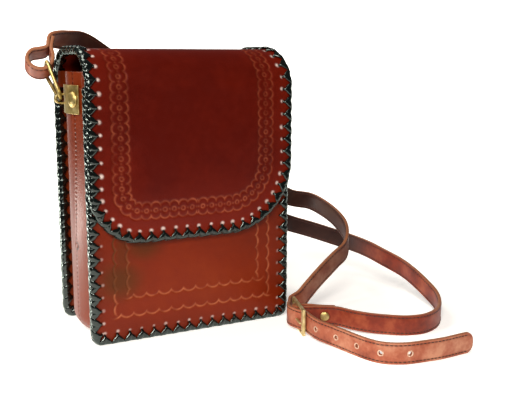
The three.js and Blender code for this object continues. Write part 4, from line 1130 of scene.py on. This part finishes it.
def strap_body(name, places, node, tip, shade, hide):
    even, spine, way, across, out = places
    narrow = np.ones(len(even))
    if tip:
        past = np.linspace(0, 1, 14)[1:] ** 0.6
        spine = np.vstack((spine, spine[-1] + way[-1] * (past * TIP_CORNER)[:, None]))
        across = np.vstack((across, np.tile(across[-1], (13, 1))))
        out = np.vstack((out, np.tile(out[-1], (13, 1))))
        rounding = (half_width - TIP_CORNER + TIP_CORNER * np.sqrt(1 - past**2) + 0.3) / half_width
        narrow = np.concatenate((narrow, np.minimum(rounding, 1)))
        shade = np.concatenate((shade, np.full(13, shade[-1])))
    rows, sides = len(spine), len(section_across)
    points = (
        spine[:, None]
        + across[:, None] * (section_across[None, :, None] * narrow[:, None, None])
        + out[:, None] * section_height[None, :, None]
    )
    faces = tube_faces(rows, sides).tolist() + end_caps(rows, sides)
    ends = np.zeros(rows)
    ends[[0, -1]] = 0.6
    facts = {
        "cut": np.maximum(np.broadcast_to(section_cut, (rows, sides)), ends[:, None]).ravel(),
        "seam": np.broadcast_to(section_seam, (rows, sides)).ravel(),
        "shade": np.repeat(shade, sides),
    }
    return make_piece(name, points.reshape(-1, 3), faces, hide, [node], facts)


def stitches(name, places, start, end):
    """Short stitches in both seams on both faces."""
    even, spine, way, across, out = places
    at = np.arange(start, end, STITCH_PITCH)
    spine, way, across, out = (at_marks(at, even, field) for field in (spine, way, across, out))
    lengthwise = np.array((-1, -0.8, 0, 0.8, 1)) * STITCH_LENGTH / 2
    thick = np.array((0.12, 0.3, 0.38, 0.3, 0.12))
    around = np.linspace(0, 2 * math.pi, 6, endpoint=False)
    points, faces = [], []
    tube = tube_faces(5, 6)
    for side in (-1, 1):
        for face in (-1, 1):
            middle = spine + across * side * (half_width - SEAM_INSET) + out * face * (half_thick - 0.06)
            body = (
                middle[:, None, None]
                + way[:, None, None] * lengthwise[None, :, None, None]
                + across[:, None, None] * (thick[:, None] * np.cos(around))[None, :, :, None]
                + out[:, None, None] * (thick[:, None] * np.sin(around) * face)[None, :, :, None]
            )
            base = sum(len(p) for p in points)
            faces.append((tube[None] + base + 30 * np.arange(len(at))[:, None, None]).reshape(-1, 4))
            points.append(body.reshape(-1, 3))
    make_piece(name, np.vstack(points), np.vstack(faces).tolist(), thread)


frame_rows = np.array(through_buckle)
through = frame_point(frame_rows[:, 0] * FRAME_LENGTH, frame_rows[:, 1] * STRAP_THICK)
long_parts = [
    ring_fold(-1),
    (np.array((0, BODY_SIZE[1] / 2, 0)) + np.array(behind_bag) * BODY_SIZE, np.array(behind_leans, float)),
    laid(beside_long, [], -1),
    (through, np.tile((0, 0, -1.0), (len(through), 1))),
    laid(free_end, [], -1),
]
long_places = strap_places(long_parts, 1.6)
buckle_along = np.array((math.cos(BUCKLE_STRAP_TURN), math.sin(BUCKLE_STRAP_TURN), 0))
bar_seat = math.hypot(BAR_HALF, FRAME_THICK / 2) + 0.3 + half_thick
bar_fold = fold(
    frame_point(CENTRE_BAR, 0.0), buckle_along, np.array((0, 0, 1.0)), bar_seat, BUCKLE_TAIL, bar_seat, 0
)
buckle_parts = [
    ring_fold(1),
    laid(beside_buckle, buckle_leans, 1),
    (bar_fold[0][::-1], bar_fold[1][::-1]),
]
buckle_places = strap_places(buckle_parts, 1.6)


def long_painted_shade(places):
    """Share of painted shade on the long half: full where it runs in shadow behind the bag, less down to the
    buckle.
    """
    x, y, z = places[1].T
    return within(x, -78, 400, 5) * within(y, -50, 400, 6) * (0.72 + 0.28 * within(z, 62, 400, 6))


# painted shade on the buckle half where it runs in shadow behind the bag
def short_painted_shade(places):
    y = places[1][:, 1]
    return within(y, 8, 400, 8)


long_shade_paint, buckle_shade_paint = long_painted_shade(long_places), short_painted_shade(buckle_places)
long_strap = strap_body("strap_long_hide", long_places, "strap_long", True, long_shade_paint, long_hide)
buckle_strap = strap_body(
    "strap_buckle_hide", buckle_places, "strap_buckle", False, buckle_shade_paint, buckle_hide
)
stitches("strap_long_stitches", long_places, 3, long_places[0][-1])
stitches("strap_buckle_stitches", buckle_places, 3, buckle_places[0][-1] - 3)


def punch(piece, centres, ways, radius):
    """Punches round holes through a strap."""
    body = bmesh.new()
    for centre, way in zip(centres, ways):
        turn = Vector(way).to_track_quat("Z", "Y").to_matrix().to_4x4()
        turn.translation = Vector(centre) * 0.001
        sizes = {"radius1": radius * 0.001, "radius2": radius * 0.001, "depth": 0.01}
        bmesh.ops.create_cone(body, cap_ends=True, segments=20, matrix=turn, **sizes)
    mesh = bpy.data.meshes.new("punch")
    body.to_mesh(mesh)
    body.free()
    tool = bpy.data.objects.new("punch", mesh)
    bpy.context.scene.collection.objects.link(tool)
    cut = piece.modifiers.new("punched", "BOOLEAN")
    cut.object = tool
    cut.solver = "EXACT"
    ready = piece.evaluated_get(bpy.context.evaluated_depsgraph_get())
    made = bpy.data.meshes.new_from_object(ready)
    made.materials.clear()
    made.materials.append(piece.data.materials[0])
    piece.modifiers.clear()
    piece.data = made
    bpy.data.objects.remove(tool)


run_end = long_places[0][-1] + TIP_CORNER
hole_runs = run_end - TIP_TO_HOLE - HOLE_PITCH * np.arange(HOLE_COUNT)
hole_centres, hole_runs_way, hole_across, hole_ways = (
    at_marks(hole_runs, long_places[0], field) for field in long_places[1:]
)
punch(long_strap, hole_centres, hole_ways, HOLE_RADIUS)


# Hole rims: the same hide, pulled up by the punch where the dye never took. It gives the eye a small
# pale ring with a bright lip.
def raw_rim():
    material, tree, place = new_material("punched_hide_rim")
    fray = add_node(tree, "TexNoise", {"Scale": 900.0, "Detail": 3.0}, {"Vector": place})
    tint = add_node(tree, "ValToRGB", links={"Fac": fray.outputs["Fac"]})
    ramp_stops(tint, [(0.35, "#b07a5c"), (0.6, "#e2c4ac")])
    bump = add_node(
        tree, "Bump", {"Strength": 0.4, "Distance": 0.0002}, {"Height": fray.outputs["Fac"]}
    )
    skin = add_node(
        tree,
        "BsdfPrincipled",
        {"IOR": 1.5, "Roughness": 0.45},
        {"Base Color": tint.outputs["Color"], "Normal": bump.outputs[0]},
    )
    add_node(tree, "OutputMaterial", links={"Surface": skin.outputs[0]})
    return material


# reach past the hole's edge, and height over the strap's face
lip = np.array([(-0.05, -0.5), (0.0, 0.02), (0.3, 0.16), (0.7, 0.1), (1.0, -0.1)])
around = np.linspace(0, 2 * math.pi, 28, endpoint=False)
lip_faces = tube_faces(len(lip), 28, True)
points, faces = [], []
for centre, way, across, out in zip(hole_centres, hole_runs_way, hole_across, hole_ways):
    for face in (-1, 1):
        circle = np.cos(around)[:, None] * way + np.sin(around)[:, None] * across
        reach = HOLE_RADIUS + lip[:, 0]
        lift = face * (half_thick + 0.1 + lip[:, 1])
        faces.append(lip_faces + sum(len(p) for p in points))
        points.append((centre + reach[:, None, None] * circle + lift[:, None, None] * out).reshape(-1, 3))
make_piece("strap_hole_rims", np.vstack(points), np.vstack(faces).tolist(), raw_rim())

# Buckle: a flat brass frame with a centre bar, filed round at its edges. The tongue is a wire looped
# round the centre bar that passes through the long strap and rests on the front bar.
# a paler copy of the brass, painted brighter for the buckle, which faces the dark room and mirrors little
# light
brass_painted_bright = handled_brass("brass_painted_lit", "#c0aa70", "#dcca94", "#f0e4bc", 0.5)
FRONT_BAR = 5.0
TONGUE_RADIUS = 1.0
STRAP_DOME = 3.8
RIVET_ALONG = 22.0
rail_top = FRAME_HEIGHT / 2
stops_along = [bar + side for bar in (0, CENTRE_BAR) for side in (-BAR_HALF, BAR_HALF)]
stops_along += [FRAME_LENGTH - FRONT_BAR / 2, FRAME_LENGTH + FRONT_BAR / 2]
stops_up = (-rail_top, FRAME_RAIL - rail_top, rail_top - FRAME_RAIL, rail_top)


def has_metal(i, j):
    """True for the cells of the frame's grid that are bar or rail, and not opening."""
    return 0 <= i < 5 and 0 <= j < 3 and not (j == 1 and i in (1, 3))


def grid_spot(i, j, layer):
    return layer * 24 + i * 4 + j


points, faces = [], []
for off in (-FRAME_THICK / 2, FRAME_THICK / 2):
    points += [frame_point(a, off, u) for a in stops_along for u in stops_up]
for i, j in np.ndindex(5, 3):
    if not has_metal(i, j):
        continue
    corners = ((i, j), (i + 1, j), (i + 1, j + 1), (i, j + 1))
    for layer in (0, 1):
        faces.append([grid_spot(*corner, layer) for corner in corners])
    for k, (beside_i, beside_j) in enumerate(((0, -1), (1, 0), (0, 1), (-1, 0))):
        if not has_metal(i + beside_i, j + beside_j):
            one, two = corners[k], corners[(k + 1) % 4]
            faces.append([grid_spot(*one, 0), grid_spot(*two, 0), grid_spot(*two, 1), grid_spot(*one, 1)])
frame_piece = make_piece("buckle_frame_cast", np.array(points), faces, brass_painted_bright, ["buckle_frame"])
round_edges(frame_piece, 0.55)

tongue_off = math.hypot(BAR_HALF, FRAME_THICK / 2) + 0.3 + TONGUE_RADIUS
turn = np.radians(np.linspace(350, 90, 26))
tongue = np.stack((CENTRE_BAR + tongue_off * np.cos(turn), tongue_off * np.sin(turn)), 1)
straight = np.linspace(CENTRE_BAR, FRAME_LENGTH + FRONT_BAR / 2, 14)[1:]
tongue = np.vstack((tongue, np.stack((straight, np.full(13, tongue_off)), 1)))
thick = np.concatenate((np.full(36, TONGUE_RADIUS), (0.9, 0.75, 0.5)))
points, faces = wire_body(frame_point(tongue[:, 0], tongue[:, 1]), thick, 14, False)
make_piece("buckle_tongue_wire", points, faces, brass_painted_bright, ["buckle_tongue"])

side = np.cross((0, 0, 1.0), buckle_along)
rivet_depth = STRAP_THICK + 0.3 + half_thick - 1.05
seat = frame_point(CENTRE_BAR, 0.0) + buckle_along * RIVET_ALONG - side * rivet_depth
domed_rivet("strap_rivet_dome", seat, -side, STRAP_DOME, 2 * STRAP_THICK + 0.3, "strap_rivet")

# Floor, light and camera: a white table top that turns up into a wall behind the bag and ends left and
# in front of it, so that no white is mirrored in the dark hide there. The lights are soft and stand to
# the left, in front and above, and the camera stands where the one fitted to the photograph stands.
TABLE_LEFT = -0.27
TABLE_RIGHT = 2.5
TABLE_FRONT = -0.36
WALL_Y = 1.6
WALL_TURN = 0.5
WALL_TOP = 0.65
bend = np.linspace(-math.pi / 2, 0, 16)
sweep = [(TABLE_FRONT, 0.0)]
sweep += [(WALL_Y - WALL_TURN + WALL_TURN * math.cos(a), WALL_TURN * (1 + math.sin(a))) for a in bend]
sweep += [(WALL_Y, WALL_TOP)]
corners = [(x, y, z) for y, z in sweep for x in (TABLE_LEFT, TABLE_RIGHT)]
ground = bpy.data.meshes.new("table_top")
strips = [(2 * i, 2 * i + 1, 2 * i + 3, 2 * i + 2) for i in range(len(sweep) - 1)]
ground.from_pydata(corners, [], strips)
ground.polygons.foreach_set("use_smooth", [True] * len(strips))
table_top = bpy.data.objects.new("table_top", ground)
bpy.context.scene.collection.objects.link(table_top)


# Table top: matt white laminate that glows with painted light. It gives the eye a pale ground and the bag's
# soft shadow.
def white_laminate():
    material, tree, place = new_material("matt_white_laminate")
    cloud = add_node(tree, "TexNoise", {"Scale": 3.0}, {"Vector": place})
    tint = add_node(tree, "ValToRGB", links={"Fac": cloud.outputs["Fac"]})
    ramp_stops(tint, [(0.3, "#f4f3f1"), (0.7, "#f8f8f7")])
    depth = add_node(tree, "SeparateXYZ", links={0: place}).outputs["Y"]
    # the table glows with painted light of its own, brightest at the wall and fading out towards the bag
    glow = add_node(
        tree,
        "MapRange",
        {"From Min": 0.1, "From Max": 0.6, "To Min": 0.5, "To Max": 1.2},
        {"Value": depth},
    )
    skin = add_node(
        tree,
        "BsdfPrincipled",
        {"Roughness": 0.8},
        {"Base Color": tint.outputs["Color"], "Emission Strength": glow.outputs[0]},
    )
    skin.inputs["Emission Color"].default_value = (1.0, 0.97, 0.93, 1.0)
    add_node(tree, "OutputMaterial", links={"Surface": skin.outputs[0]})
    return material


ground.materials.append(white_laminate())

world = bpy.data.worlds.new("soft_room")
bpy.context.scene.world = world
world.use_nodes = True
world.node_tree.nodes.clear()
room = add_node(world.node_tree, "Background", {"Color": (1.0, 1.0, 1.0, 1.0), "Strength": 0.08})
add_node(world.node_tree, "OutputWorld", links={"Surface": room.outputs[0]})


def soft_light(name, place, target, width, depth, power):
    lamp = bpy.data.lights.new(name, "AREA")
    lamp.shape = "RECTANGLE"
    lamp.size, lamp.size_y = width, depth
    lamp.energy = power
    lamp.color = (1.0, 0.95, 0.87)
    light = bpy.data.objects.new(name, lamp)
    light.location = place
    light.rotation_euler = (Vector(target) - Vector(place)).to_track_quat("-Z", "Y").to_euler()
    bpy.context.scene.collection.objects.link(light)


soft_light("light_left", (-0.31, 0.2, 0.03), (-0.083, -0.02, 0.06), 0.14, 0.05, 0.45)
soft_light("light_window", (-1.15, -0.3, 0.7), (0, 0, 0.1), 0.14, 0.2, 6)
soft_light("light_front", (-0.8, -1.25, 1.0), (0, 0, 0.1), 0.55, 0.55, 24)
soft_light("light_top", (-0.7, 0.5, 1.35), (0.1, 0.2, 0.0), 0.8, 0.8, 14)

lens = bpy.data.cameras.new("camera")
lens.sensor_width = 36
lens.lens = 57.72
camera = bpy.data.objects.new("camera", lens)
camera.location = (-0.2473, -0.6097, 0.2132)
camera.rotation_euler = (math.radians(80), 0, math.radians(-27.77))
bpy.context.scene.collection.objects.link(camera)
bpy.context.scene.camera = camera
bpy.context.scene.view_settings.view_transform = "Standard"
